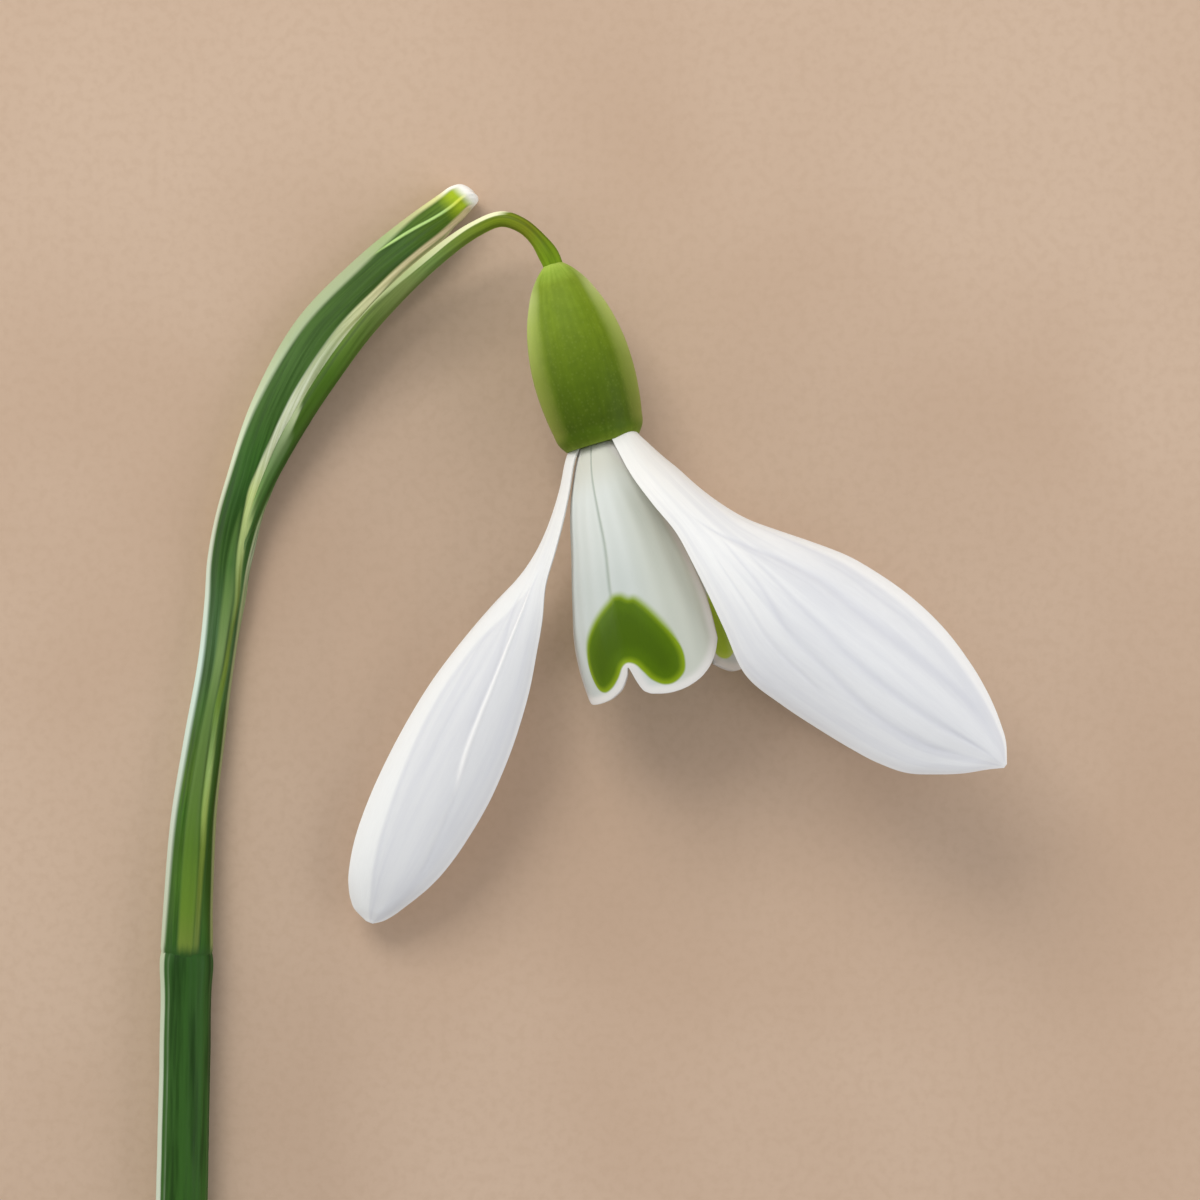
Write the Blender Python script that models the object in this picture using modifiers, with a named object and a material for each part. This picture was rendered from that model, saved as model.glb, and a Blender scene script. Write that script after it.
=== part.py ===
"""Snowdrop flower on a cut stalk, lying on its side on a flat surface.

Units: route points, widths and radii are in millimetres and become metres (MM) when a mesh is made.
Frame: +Z up, the surface at Z = 0, the stalk along +Y on the left, the flower nodding to the right.
The origin is the middle of the footprint, on the surface.

The plant lies with its sheath (spathe) and stalk on the surface. The flower stalk (pedicel) leaves the
sheath, arches over and carries the ovary. Three outer and three inner tepals hang from the ovary's
lower rim round a common axis, the flower axis, with six stamens and the style inside them.
"""

import math

import bpy
import numpy as np
from mathutils import Matrix, Vector

MM = 0.001
COLLECTION = "snowdrop_flower"

# Flower axis: from the middle of the ovary's top to the middle of its lower rim.
OVARY_TOP = (-0.89, 24.45, 4.50)
OVARY_RIM = (1.72, 15.17, 4.45)

# Clearance between neighbouring pieces where one is seated on the other.
SEAT_GAP = 0.25

# Walls.
SPATHE_WALL = 0.24
OUTER_TEPAL_WALL = 0.34
INNER_TEPAL_WALL = 0.28

# Stalk below the sheath: the route of its middle and its radius, cut square at the first point.
SCAPE_ROUTE = ((-20.65, -29.10, 1.42), (-20.55, -23.6, 1.42), (-20.43, -18.3, 1.42), (-20.32, -11.85, 1.42))
SCAPE_RADIUS = ((0.0, 1.37), (0.70, 1.34), (0.88, 1.35), (0.95, 1.41), (1.0, 1.40))

# Sheath: its keel runs along the outer side of the bend. Depth is measured from the keel to the far
# side, height from the surface up, and half_opening is how far round from the keel the wall reaches:
# 180 degrees is a closed tube.
SPATHE_KEEL = (
    (-21.62, -11.45), (-21.50, -8.8), (-21.16, -4.6), (-20.50, -0.4), (-19.84, 3.8), (-19.45, 6.9),
    (-19.30, 9.1), (-18.90, 11.2), (-18.32, 13.3), (-16.92, 17.5), (-14.55, 21.8), (-11.45, 25.0),
    (-8.75, 27.2), (-6.95, 28.45), (-5.95, 28.95), (-5.25, 28.80), (-4.95, 28.25),
)
SPATHE_DEPTH = (
    (0.0, 2.62), (0.06, 2.58), (0.15, 2.35), (0.25, 2.05), (0.34, 1.82), (0.43, 2.05), (0.51, 1.66),
    (0.55, 1.62), (0.63, 2.15), (0.72, 2.05), (0.82, 1.85), (0.90, 1.65), (0.95, 1.35), (0.98, 0.95),
    (1.0, 0.6),
)
SPATHE_HEIGHT = (
    (0.0, 2.84), (0.15, 2.6), (0.28, 2.4), (0.43, 2.5), (0.55, 2.9), (0.72, 3.0), (0.86, 2.6), (0.94, 2.1),
    (0.98, 1.5), (1.0, 1.0),
)
SPATHE_HALF_OPENING = (
    (0.0, 180.0), (0.32, 180.0), (0.36, 180.0), (0.40, 158.0), (0.44, 138.0), (0.49, 116.0), (0.56, 106.0),
    (0.78, 104.0), (0.92, 112.0), (1.0, 125.0),
)
SPATHE_ROWS = 42
SPATHE_COLUMNS = 17

# Flower stalk: it starts on top of the stalk inside the sheath, leaves through the sheath's open side
# and ends on the ovary.
PEDICEL_ROUTE = (
    (-20.28, -11.50, 1.40), (-20.05, -6.0, 1.33), (-19.42, -0.4, 1.25), (-18.92, 3.8, 1.22),
    (-18.45, 7.0, 1.30), (-17.62, 9.9, 1.45), (-16.10, 13.3, 1.70), (-13.55, 17.55, 2.20),
    (-10.48, 21.65, 2.85), (-7.20, 24.75, 3.55), (-4.95, 26.30, 4.05), (-3.60, 26.78, 4.30),
    (-2.56, 26.44, 4.45), (-1.75, 25.73, 4.50), (-1.16, 24.88, 4.50),
)
PEDICEL_RADIUS = (
    (0.0, 0.55), (0.18, 0.52), (0.36, 0.42), (0.46, 0.44), (0.60, 0.50), (0.76, 0.54), (0.84, 0.45),
    (0.92, 0.39), (1.0, 0.46),
)

# Ovary outline, as share of its length from its top and radius.
OVARY_OUTLINE = (
    (0.0, 0.46), (0.03, 0.80), (0.10, 1.36), (0.21, 1.90), (0.32, 2.28), (0.43, 2.52), (0.55, 2.65),
    (0.66, 2.66), (0.77, 2.58), (0.885, 2.42), (0.96, 2.26), (1.0, 2.00),
)

# Outer tepals. A spine runs down the middle of each blade. Half-width is measured round the curved
# blade, cup is the half-angle of the arc that its section makes, and roll turns the section about the
# spine from facing straight up: positive towards the flower stalk's side.
OUTER_ROWS = 20
OUTER_COLUMNS = 11
RIGHT_SPINE = (
    (3.08, 15.20, 6.15), (3.82, 14.10, 7.05), (5.05, 12.70, 7.90), (7.42, 10.32, 8.75), (11.1, 7.0, 9.70),
    (16.1, 3.05, 10.35), (18.9, 0.85, 10.25), (21.80, -1.40, 9.75),
)
RIGHT_HALF_WIDTH = (
    (0.0, 1.05), (0.08, 1.20), (0.18, 1.45), (0.28, 1.75), (0.38, 2.85), (0.50, 4.25), (0.62, 4.75),
    (0.74, 4.45), (0.86, 3.7), (1.0, 2.6),
)
RIGHT_CUP = ((0.0, 22.0), (0.12, 30.0), (0.3, 42.0), (0.5, 58.0), (0.75, 60.0), (1.0, 40.0))
RIGHT_ROLL = ((0.0, 40.0), (0.2, 34.0), (0.4, 14.0), (0.6, 4.0), (1.0, 0.0))

LEFT_SPINE = (
    (-0.38, 14.40, 4.45), (-0.84, 12.55, 4.55), (-1.72, 9.9, 4.55), (-3.50, 6.2, 4.50), (-5.90, 1.2, 4.35),
    (-8.40, -3.8, 3.7), (-9.85, -7.4, 2.9), (-10.55, -9.95, 2.1),
)
LEFT_HALF_WIDTH = (
    (0.0, 1.0), (0.12, 1.05), (0.25, 1.4), (0.38, 2.6), (0.50, 3.5), (0.62, 3.75), (0.74, 3.5), (0.88, 3.1),
    (1.0, 2.7),
)
LEFT_CUP = ((0.0, 22.0), (0.12, 30.0), (0.3, 42.0), (0.5, 56.0), (0.8, 54.0), (1.0, 36.0))
LEFT_ROLL = ((0.0, -80.0), (0.18, -72.0), (0.35, -48.0), (0.5, -36.0), (0.75, -30.0), (1.0, -26.0))

REAR_SPINE = (
    (2.5, 14.9, 2.45), (3.6, 13.3, 1.55), (5.9, 11.0, 0.72), (9.4, 8.1, 0.28), (13.4, 5.0, 0.19),
    (17.2, 2.0, 0.22), (20.9, -0.6, 0.62),
)
REAR_HALF_WIDTH = (
    (0.0, 1.0), (0.10, 1.10), (0.25, 1.4), (0.38, 2.4), (0.52, 3.5), (0.66, 3.9), (0.80, 3.6), (1.0, 2.4),
)
REAR_CUP = ((0.0, 30.0), (0.3, 34.0), (0.55, 42.0), (0.8, 40.0), (1.0, 26.0))
REAR_ROLL = ((0.0, 158.0), (0.2, 166.0), (0.45, 180.0), (1.0, 180.0))

# Rounded blade tips: the half-width falls from its given value to the tip's own over this share.
TIP_SHARE = 0.30
TIP_POWER = 2.2
TIP_SHARPNESS = 0.62
TIP_HALF_WIDTH = 0.16

# Inner tepals form a bell round the flower axis: its radius against the distance below the rim, and
# how wide each one reaches to either side of its middle, in degrees.
BELL_RADIUS = (
    (0.0, 1.38), (1.0, 1.85), (2.3, 2.38), (5.4, 3.18), (7.4, 3.7), (9.4, 4.12), (11.2, 4.25), (13.4, 4.12),
)
INNER_LENGTH = 13.2
INNER_SIDE_LENGTH = 10.7
NOTCH_DEPTH = 1.80
LOBE_MIDDLE = 0.46
INNER_ROWS = 15
INNER_COLUMNS = 15
INNER_TEPALS = (
    ("inner_tepal_front", -26.0, 45.0, 64.0, 0.0),
    ("inner_tepal_right", 97.0, 46.0, 60.0, 0.52),
    ("inner_tepal_rear", -143.0, 46.0, 54.0, 0.52),
)
INSET_LENGTH = 4.0

# Stamens: a short filament and a pointed anther, leaning together into a cone round the style.
STAMEN_COUNT = 6
STAMEN_RING = 0.96
STAMEN_LEAN = math.radians(1.8)
STAMEN_OUTLINE = (
    (0.0, 0.17), (1.1, 0.15), (1.35, 0.28), (2.2, 0.34), (4.2, 0.30), (5.8, 0.18), (6.6, 0.07),
)
STYLE_OUTLINE = ((0.0, 0.26), (0.6, 0.19), (6.0, 0.17), (8.2, 0.21), (8.9, 0.17), (9.2, 0.07))

# Colours as red, green, blue (linear) and roughness.
FINISHES = {
    "scape_skin": ((0.060, 0.180, 0.045), 0.45),
    "spathe_skin": ((0.085, 0.230, 0.060), 0.45),
    "pedicel_skin": ((0.130, 0.280, 0.060), 0.45),
    "ovary_skin": ((0.170, 0.320, 0.030), 0.40),
    "outer_tepal_skin": ((0.850, 0.860, 0.880), 0.50),
    "inner_tepal_skin": ((0.760, 0.820, 0.740), 0.50),
    "anther_skin": ((0.820, 0.360, 0.040), 0.60),
    "style_skin": ((0.700, 0.780, 0.480), 0.45),
}


def clear_scene():
    """Remove everything that the scene holds."""
    for item in list(bpy.data.objects):
        bpy.data.objects.remove(item, do_unlink=True)
    for group in list(bpy.data.collections):
        bpy.data.collections.remove(group)


def make_finish(name):
    """Make the Principled material of one skin."""
    color, roughness = FINISHES[name]
    material = bpy.data.materials.new(name)
    material.use_nodes = True
    shader = material.node_tree.nodes["Principled BSDF"]
    shader.inputs["Base Color"].default_value = (*color, 1.0)
    shader.inputs["Roughness"].default_value = roughness
    shader.inputs["Metallic"].default_value = 0.0
    return material


def add_object(name, data, finish, collection):
    """Put mesh or curve data in the scene as one named part."""
    part = bpy.data.objects.new(name, data)
    collection.objects.link(part)
    data.materials.append(finish)
    return part


def smooth_values(table, places):
    """Read a smooth curve through the rows of a (place, value) table at other places."""
    knots = np.array([row[0] for row in table], float)
    values = np.array([row[1] for row in table], float)
    slopes = np.gradient(values, knots, axis=0)
    places = np.asarray(places, float)
    low = np.clip(np.searchsorted(knots, places, side="right") - 1, 0, len(knots) - 2)
    step = knots[low + 1] - knots[low]
    t = (places - knots[low]) / step
    if values.ndim > 1:
        step, t = step[:, None], t[:, None]
    start = (2 * t**3 - 3 * t**2 + 1) * values[low] + (t**3 - 2 * t**2 + t) * step * slopes[low]
    end = (3 * t**2 - 2 * t**3) * values[low + 1] + (t**3 - t**2) * step * slopes[low + 1]
    return start + end


def smooth_route(points, shares):
    """Read a smooth route through 3-D points at shares of its length, 0 at its start and 1 at its end."""
    points = np.array(points, float)
    chords = np.sqrt(np.linalg.norm(np.diff(points, axis=0), axis=1))
    knots = np.concatenate([[0.0], np.cumsum(chords)])
    fine = smooth_values(list(zip(knots, points)), np.linspace(0.0, knots[-1], 400))
    lengths = np.concatenate([[0.0], np.cumsum(np.linalg.norm(np.diff(fine, axis=0), axis=1))])
    wanted = np.asarray(shares) * lengths[-1]
    return np.stack([np.interp(wanted, lengths, fine[:, axis]) for axis in range(3)], axis=1)


def unit(vectors):
    """Scale each row to length one."""
    return vectors / np.linalg.norm(vectors, axis=1, keepdims=True)


def flower_matrix():
    """Place of the flower axis: origin at the rim's middle, +Z down the flower, +Y nearest to up."""
    rim = Vector(OVARY_RIM)
    down = (rim - Vector(OVARY_TOP)).normalized()
    upper = (Vector((0.0, 0.0, 1.0)) - down * down.z).normalized()
    side = upper.cross(down)
    matrix = Matrix((side, upper, down)).transposed().to_4x4()
    matrix.translation = rim * MM
    return matrix


def sheet_mesh(name, grid):
    """Make an open sheet from a grid of points in millimetres, rows by columns by three."""
    rows, columns = grid.shape[:2]
    faces = []
    for row in range(rows - 1):
        for column in range(columns - 1):
            first = row * columns + column
            faces.append((first, first + 1, first + columns + 1, first + columns))
    mesh = bpy.data.meshes.new(name)
    mesh.from_pydata([Vector(point) for point in grid.reshape(-1, 3) * MM], [], faces)
    mesh.shade_smooth()
    return mesh


def add_wall(part, thickness, offset):
    """Give a sheet its thickness. Offset -1 keeps the sheet as the outer side, 0 as the middle."""
    wall = part.modifiers.new("wall", "SOLIDIFY")
    wall.thickness = thickness * MM
    wall.offset = offset
    wall.use_even_offset = True
    wall.use_rim = True


def build_stalk(name, route, radius_table, stations, sides, finish, collection):
    """Build a round stalk along a route, its radius read from a table of (share, radius)."""
    shares = np.linspace(0.0, 1.0, stations)
    centres = smooth_route(route, shares)
    radii = smooth_values(radius_table, shares)
    curve = bpy.data.curves.new(name, "CURVE")
    curve.dimensions = "3D"
    curve.bevel_depth = MM
    curve.bevel_resolution = sides
    curve.use_fill_caps = True
    spline = curve.splines.new("POLY")
    spline.points.add(stations - 1)
    for point, centre, radius in zip(spline.points, centres, radii):
        point.co = (*(centre * MM), 1.0)
        point.radius = radius
    return add_object(name, curve, finish, collection)


def build_turned(name, outline, matrix, steps, finish, collection):
    """Turn an outline of (distance, radius) rows round the local Z axis, from low to high Z."""
    profile = [(0.0, 0.0, outline[-1][0])]
    profile += [(radius, 0.0, distance) for distance, radius in reversed(outline)]
    profile += [(0.0, 0.0, outline[0][0])]
    mesh = bpy.data.meshes.new(name)
    edges = [(index, index + 1) for index in range(len(profile) - 1)]
    mesh.from_pydata([Vector(point) * MM for point in profile], edges, [])
    part = add_object(name, mesh, finish, collection)
    turn = part.modifiers.new("turn", "SCREW")
    turn.axis = "Z"
    turn.steps = steps
    turn.render_steps = steps
    turn.use_merge_vertices = True
    turn.merge_threshold = 0.01 * MM
    turn.use_smooth_shade = True
    part.matrix_world = matrix
    return part


def build_spathe(finish, collection):
    """Build the sheath: a tube at its foot that opens towards the flower and ends in a hooded tip."""
    shares = np.linspace(0.0, 1.0, SPATHE_ROWS)
    keel = smooth_route([(x, y, 0.0) for x, y in SPATHE_KEEL], shares)
    tangent = unit(np.gradient(keel, axis=0))
    inward = np.stack([tangent[:, 1], -tangent[:, 0], np.zeros(SPATHE_ROWS)], axis=1)
    depth = smooth_values(SPATHE_DEPTH, shares)
    height = smooth_values(SPATHE_HEIGHT, shares)
    reach = np.radians(np.minimum(smooth_values(SPATHE_HALF_OPENING, shares), 180.0))
    grid = np.zeros((SPATHE_ROWS, SPATHE_COLUMNS, 3))
    for column, side in enumerate(np.linspace(-1.0, 1.0, SPATHE_COLUMNS)):
        angle = side * reach
        across = depth * (1.0 - np.cos(angle)) / (1.0 - np.cos(reach))
        grid[:, column] = keel + inward * across[:, None]
        grid[:, column, 2] = 0.5 * height * (1.0 + np.sin(angle))
    part = add_object("spathe", sheet_mesh("spathe", grid), finish, collection)
    join = part.modifiers.new("tube_seam", "WELD")
    join.merge_threshold = 0.001 * MM
    add_wall(part, SPATHE_WALL, -1.0)
    return part


def blade_half_width(table, shares):
    """Read a blade's half-width and round it off towards the tip."""
    near_tip = np.clip((shares - 1.0 + TIP_SHARE) / TIP_SHARE, 0.0, 1.0)
    rounding = (1.0 - near_tip**TIP_POWER) ** TIP_SHARPNESS
    return TIP_HALF_WIDTH + (smooth_values(table, shares) - TIP_HALF_WIDTH) * rounding


def build_outer_tepal(name, spine, width_table, cup_table, roll_table, finish, collection):
    """Build one outer tepal: a narrow claw that widens into a cupped blade with a rounded tip."""
    shares = 1.0 - (1.0 - np.linspace(0.0, 1.0, OUTER_ROWS)) ** 1.35
    middle = smooth_route(spine, shares)
    tangent = unit(np.gradient(middle, shares, axis=0))
    level = unit(np.cross(tangent, (0.0, 0.0, 1.0)))
    upper = np.cross(level, tangent)
    roll = np.radians(smooth_values(roll_table, shares))[:, None]
    across = np.cos(roll) * level + np.sin(roll) * upper
    outward = np.cos(roll) * upper - np.sin(roll) * level
    cup = np.radians(smooth_values(cup_table, shares))
    bend_radius = blade_half_width(width_table, shares) / cup
    grid = np.zeros((OUTER_ROWS, OUTER_COLUMNS, 3))
    for column, side in enumerate(np.linspace(-1.0, 1.0, OUTER_COLUMNS)):
        sideways = (bend_radius * np.sin(side * cup))[:, None]
        inwards = (bend_radius * (1.0 - np.cos(side * cup)))[:, None]
        grid[:, column] = middle + across * sideways - outward * inwards
    part = add_object(name, sheet_mesh(name, grid), finish, collection)
    add_wall(part, OUTER_TEPAL_WALL, 0.0)
    return part


def inner_end(side):
    """Length of an inner tepal at a place across it: two round lobes with a notch between them."""
    inside = np.clip(1.0 - np.abs(side) / LOBE_MIDDLE, 0.0, 1.0)
    outside = np.clip((np.abs(side) - LOBE_MIDDLE) / (1.0 - LOBE_MIDDLE), 0.0, 1.0)
    return INNER_LENGTH - NOTCH_DEPTH * inside**1.4 - (INNER_LENGTH - INNER_SIDE_LENGTH) * outside**2.6


def build_inner_tepal(name, azimuth, base_reach, mouth_reach, inset, finish, collection):
    """Build one inner tepal, a curved panel of the bell, in the flower axis's own frame."""
    grid = np.zeros((INNER_ROWS, INNER_COLUMNS, 3))
    for column, side in enumerate(np.linspace(-1.0, 1.0, INNER_COLUMNS)):
        down = SEAT_GAP + (inner_end(side) - SEAT_GAP) * np.linspace(0.0, 1.0, INNER_ROWS)
        opening = np.clip(down / INSET_LENGTH, 0.0, 1.0)
        radius = smooth_values(BELL_RADIUS, down) - inset * opening
        reach = base_reach + (mouth_reach - base_reach) * opening
        angle = np.radians(azimuth + side * reach)
        grid[:, column] = np.stack([radius * np.sin(angle), radius * np.cos(angle), down], axis=1)
    part = add_object(name, sheet_mesh(name, grid), finish, collection)
    add_wall(part, INNER_TEPAL_WALL, 0.0)
    part.matrix_world = flower_matrix()
    return part


def build_ovary(finish, collection):
    """Build the ovary, turned about the flower axis with its lower rim at the axis's origin."""
    length = (Vector(OVARY_RIM) - Vector(OVARY_TOP)).length
    outline = [((share - 1.0) * length, radius) for share, radius in OVARY_OUTLINE]
    return build_turned("ovary", outline, flower_matrix(), 28, finish, collection)


def build_stamens(finish, collection):
    """Build the six stamens in a ring round the style, each leaning towards it."""
    for number in range(STAMEN_COUNT):
        turn = Matrix.Rotation(2.0 * math.pi * number / STAMEN_COUNT, 4, "Z")
        place = Matrix.Translation(Vector((STAMEN_RING, 0.0, SEAT_GAP)) * MM)
        lean = Matrix.Rotation(-STAMEN_LEAN, 4, "Y")
        matrix = flower_matrix() @ turn @ place @ lean
        build_turned(f"stamen_{number + 1}", STAMEN_OUTLINE, matrix, 10, finish, collection)


def build_style(finish, collection):
    """Build the style, the thread in the middle of the flower that ends in the stigma."""
    matrix = flower_matrix() @ Matrix.Translation(Vector((0.0, 0.0, SEAT_GAP)) * MM)
    return build_turned("style", STYLE_OUTLINE, matrix, 10, finish, collection)


def main():
    """Build the whole flower."""
    clear_scene()
    collection = bpy.data.collections.new(COLLECTION)
    bpy.context.scene.collection.children.link(collection)
    finish = {name: make_finish(name) for name in FINISHES}

    build_stalk("scape", SCAPE_ROUTE, SCAPE_RADIUS, 16, 4, finish["scape_skin"], collection)
    build_spathe(finish["spathe_skin"], collection)
    build_stalk("pedicel", PEDICEL_ROUTE, PEDICEL_RADIUS, 46, 3, finish["pedicel_skin"], collection)
    build_ovary(finish["ovary_skin"], collection)
    outer = finish["outer_tepal_skin"]
    build_outer_tepal(
        "outer_tepal_right", RIGHT_SPINE, RIGHT_HALF_WIDTH, RIGHT_CUP, RIGHT_ROLL, outer, collection
    )
    build_outer_tepal("outer_tepal_left", LEFT_SPINE, LEFT_HALF_WIDTH, LEFT_CUP, LEFT_ROLL, outer, collection)
    build_outer_tepal("outer_tepal_rear", REAR_SPINE, REAR_HALF_WIDTH, REAR_CUP, REAR_ROLL, outer, collection)
    for tepal in INNER_TEPALS:
        build_inner_tepal(*tepal, finish["inner_tepal_skin"], collection)
    build_stamens(finish["anther_skin"], collection)
    build_style(finish["style_skin"], collection)


main()
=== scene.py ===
"""Snowdrop flower on a cut stalk, lying on its side on a plain surface.

Tables of sizes are in millimetres and become metres (MM) when a mesh is made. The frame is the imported
model's: +Z up from the surface, the stalk along +Y on the left, the flower nodding to the right.
"""

import logging
import math
from collections.abc import Callable, Sequence
from dataclasses import dataclass, field
from enum import Enum
from functools import partial
from typing import Any

import bmesh
import bpy
import numpy as np
from mathutils import Matrix, Vector


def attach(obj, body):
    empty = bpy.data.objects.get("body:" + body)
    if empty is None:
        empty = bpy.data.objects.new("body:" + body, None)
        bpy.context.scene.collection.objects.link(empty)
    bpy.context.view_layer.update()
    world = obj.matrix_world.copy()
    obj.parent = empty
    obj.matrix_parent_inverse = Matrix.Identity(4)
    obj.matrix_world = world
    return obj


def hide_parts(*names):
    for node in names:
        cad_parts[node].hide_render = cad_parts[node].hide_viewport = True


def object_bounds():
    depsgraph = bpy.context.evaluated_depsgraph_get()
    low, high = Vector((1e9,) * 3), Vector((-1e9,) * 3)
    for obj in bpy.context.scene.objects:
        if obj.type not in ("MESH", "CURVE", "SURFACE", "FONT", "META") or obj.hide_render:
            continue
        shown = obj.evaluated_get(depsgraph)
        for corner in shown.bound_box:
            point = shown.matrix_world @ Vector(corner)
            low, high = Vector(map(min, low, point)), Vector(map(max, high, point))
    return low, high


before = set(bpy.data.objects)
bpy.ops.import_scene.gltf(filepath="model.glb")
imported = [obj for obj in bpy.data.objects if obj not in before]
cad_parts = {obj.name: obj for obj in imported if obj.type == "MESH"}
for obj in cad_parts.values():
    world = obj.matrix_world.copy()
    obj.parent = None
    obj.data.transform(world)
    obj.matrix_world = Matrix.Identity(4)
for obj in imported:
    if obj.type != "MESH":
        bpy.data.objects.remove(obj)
CAD_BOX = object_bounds()

MM = 0.001
BODY = "root"
LOG = logging.getLogger("snowdrop")

Table = tuple[tuple[float, float], ...]
Stops = tuple[tuple[float, str], ...]
Point = tuple[float, float, float]
Route = tuple[Point, ...]
Outline = tuple[tuple[float, float], ...]
Color = tuple[float, float, float, float]
Add = Callable[..., bpy.types.Node]

# Values that only the stalk tree reads: a route's radius, and how much of the ribs shows.
GIRTH = "girth"
RELIEF = "relief"
# Wax on live green skin scatters more than it mirrors, so its gloss is that of a lower index than 1.42.
WAX_IOR = 1.22
# Length of the sheath along its keel.
SHEATH_LENGTH = 47.0
# Flower axis: from the middle of the ovary's top to the middle of its lower rim.
OVARY_TOP = (-0.89, 24.45, 4.50)
OVARY_RIM = (1.72, 15.17, 4.45)


class Spot(Enum):
    """Names of the values that meshes carry for their finishes."""

    ALONG = "along"
    AROUND = "around"
    ACROSS = "across"
    FURROW = "furrow"
    MARGIN = "margin"
    MARK = "mark"
    SOFTNESS = "softness"
    INSIDE = "inside"
    KEEL = "keel"
    STRIPE = "stripe"
    VEIN = "vein"
    MEMBRANE = "membrane"
    RIDGE = "ridge"
    SHADE = "shade"
    # How far a point faces the painted light.
    PALE_SIDE = "pale_side"
    BAND = "band"
    POLLEN = "pollen"


# ---------------------------------------------------------------------------------------------------
# Curves and grids


def smooth_values(table: Sequence[Any], places: Any) -> np.ndarray:
    """Read a smooth curve through the rows of a (place, value) table at other places.

    Args:
        table: rows of place and value; a value may be a point.
        places: where to read the curve.

    Returns:
        The values there.
    """
    knots = np.array([row[0] for row in table], float)
    values = np.array([row[1] for row in table], float)
    slopes = np.gradient(values, knots, axis=0)
    places = np.asarray(places, float)
    low = np.clip(np.searchsorted(knots, places, side="right") - 1, 0, len(knots) - 2)
    step = knots[low + 1] - knots[low]
    t = (places - knots[low]) / step
    if values.ndim > 1:
        step, t = step[..., None], t[..., None]
    start = (2 * t**3 - 3 * t**2 + 1) * values[low] + (t**3 - 2 * t**2 + t) * step * slopes[low]
    end = (3 * t**2 - 2 * t**3) * values[low + 1] + (t**3 - t**2) * step * slopes[low + 1]
    return start + end


def smooth_route(points: Sequence[Any], shares: Any) -> np.ndarray:
    """Read a smooth route through 3-D points at shares of its length.

    Args:
        points: the points that the route passes.
        shares: 0 at its start and 1 at its end.

    Returns:
        One point per share.
    """
    points = np.array(points, float)
    chords = np.sqrt(np.linalg.norm(np.diff(points, axis=0), axis=1))
    knots = np.concatenate([[0.0], np.cumsum(chords)])
    fine = smooth_values(list(zip(knots, points)), np.linspace(0.0, knots[-1], 1200))
    lengths = np.concatenate([[0.0], np.cumsum(np.linalg.norm(np.diff(fine, axis=0), axis=1))])
    wanted = np.asarray(shares) * lengths[-1]
    return np.stack([np.interp(wanted, lengths, fine[:, axis]) for axis in range(3)], axis=1)


def ease(low: float, high: float, values: Any) -> np.ndarray:
    """Rise smoothly from 0 at low to 1 at high."""
    t = np.clip((np.asarray(values, float) - low) / (high - low), 0.0, 1.0)
    return t * t * (3.0 - 2.0 * t)


def unit(vectors: np.ndarray) -> np.ndarray:
    """Scale vectors to length one."""
    return vectors / np.maximum(np.linalg.norm(vectors, axis=-1, keepdims=True), 1e-12)


def grid_normals(grid: np.ndarray) -> np.ndarray:
    """Give the normals of a grid of points, on the side from which columns run to the right of rows."""
    return unit(np.cross(np.gradient(grid, axis=1), np.gradient(grid, axis=0)))


def outline_distance(points: np.ndarray, outline: Outline) -> np.ndarray:
    """Measure how far points lie inside a smooth closed outline.

    Args:
        points: an array of 2-D points.
        outline: the points that the outline passes, in order.

    Returns:
        The distance to the outline, positive inside it and negative outside.
    """
    ring = np.array([*outline[-2:], *outline, *outline[:3]], float)
    fine = smooth_values(list(zip(range(len(ring)), ring)), np.linspace(2.0, len(ring) - 3.0, 260))
    flat = points.reshape(-1, 2)
    start, step = fine[:-1], np.diff(fine, axis=0)
    lengths = np.maximum((step**2).sum(axis=1), 1e-12)
    nearest = np.full(len(flat), 1e9)
    crossings = np.zeros(len(flat), int)
    for (x, y), (dx, dy), length in zip(start, step, lengths):
        t = np.clip(((flat[:, 0] - x) * dx + (flat[:, 1] - y) * dy) / length, 0.0, 1.0)
        nearest = np.minimum(nearest, np.hypot(flat[:, 0] - x - t * dx, flat[:, 1] - y - t * dy))
        between = (flat[:, 1] >= y) != (flat[:, 1] >= y + dy)
        if abs(dy) > 1e-12:
            crossings += between & (flat[:, 0] < x + (flat[:, 1] - y) * dx / dy)
    signed = np.where(crossings % 2 == 1, nearest, -nearest)
    return signed.reshape(points.shape[:-1])


def flower_matrix() -> Matrix:
    """Place of the flower axis: origin at the rim's middle, +Z down the flower, +Y nearest to up.

    Returns:
        The matrix, in millimetres.
    """
    rim = Vector(OVARY_RIM)
    down = (rim - Vector(OVARY_TOP)).normalized()
    upper = (Vector((0.0, 0.0, 1.0)) - down * down.z).normalized()
    side = upper.cross(down)
    matrix = Matrix((side, upper, down)).transposed().to_4x4()
    matrix.translation = rim
    return matrix


def in_flower(points: np.ndarray) -> np.ndarray:
    """Turn points of the flower axis's own frame into the row frame, all in millimetres."""
    matrix = np.array(flower_matrix())
    return points @ matrix[:3, :3].T + matrix[:3, 3]


# ---------------------------------------------------------------------------------------------------
# Meshes


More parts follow.
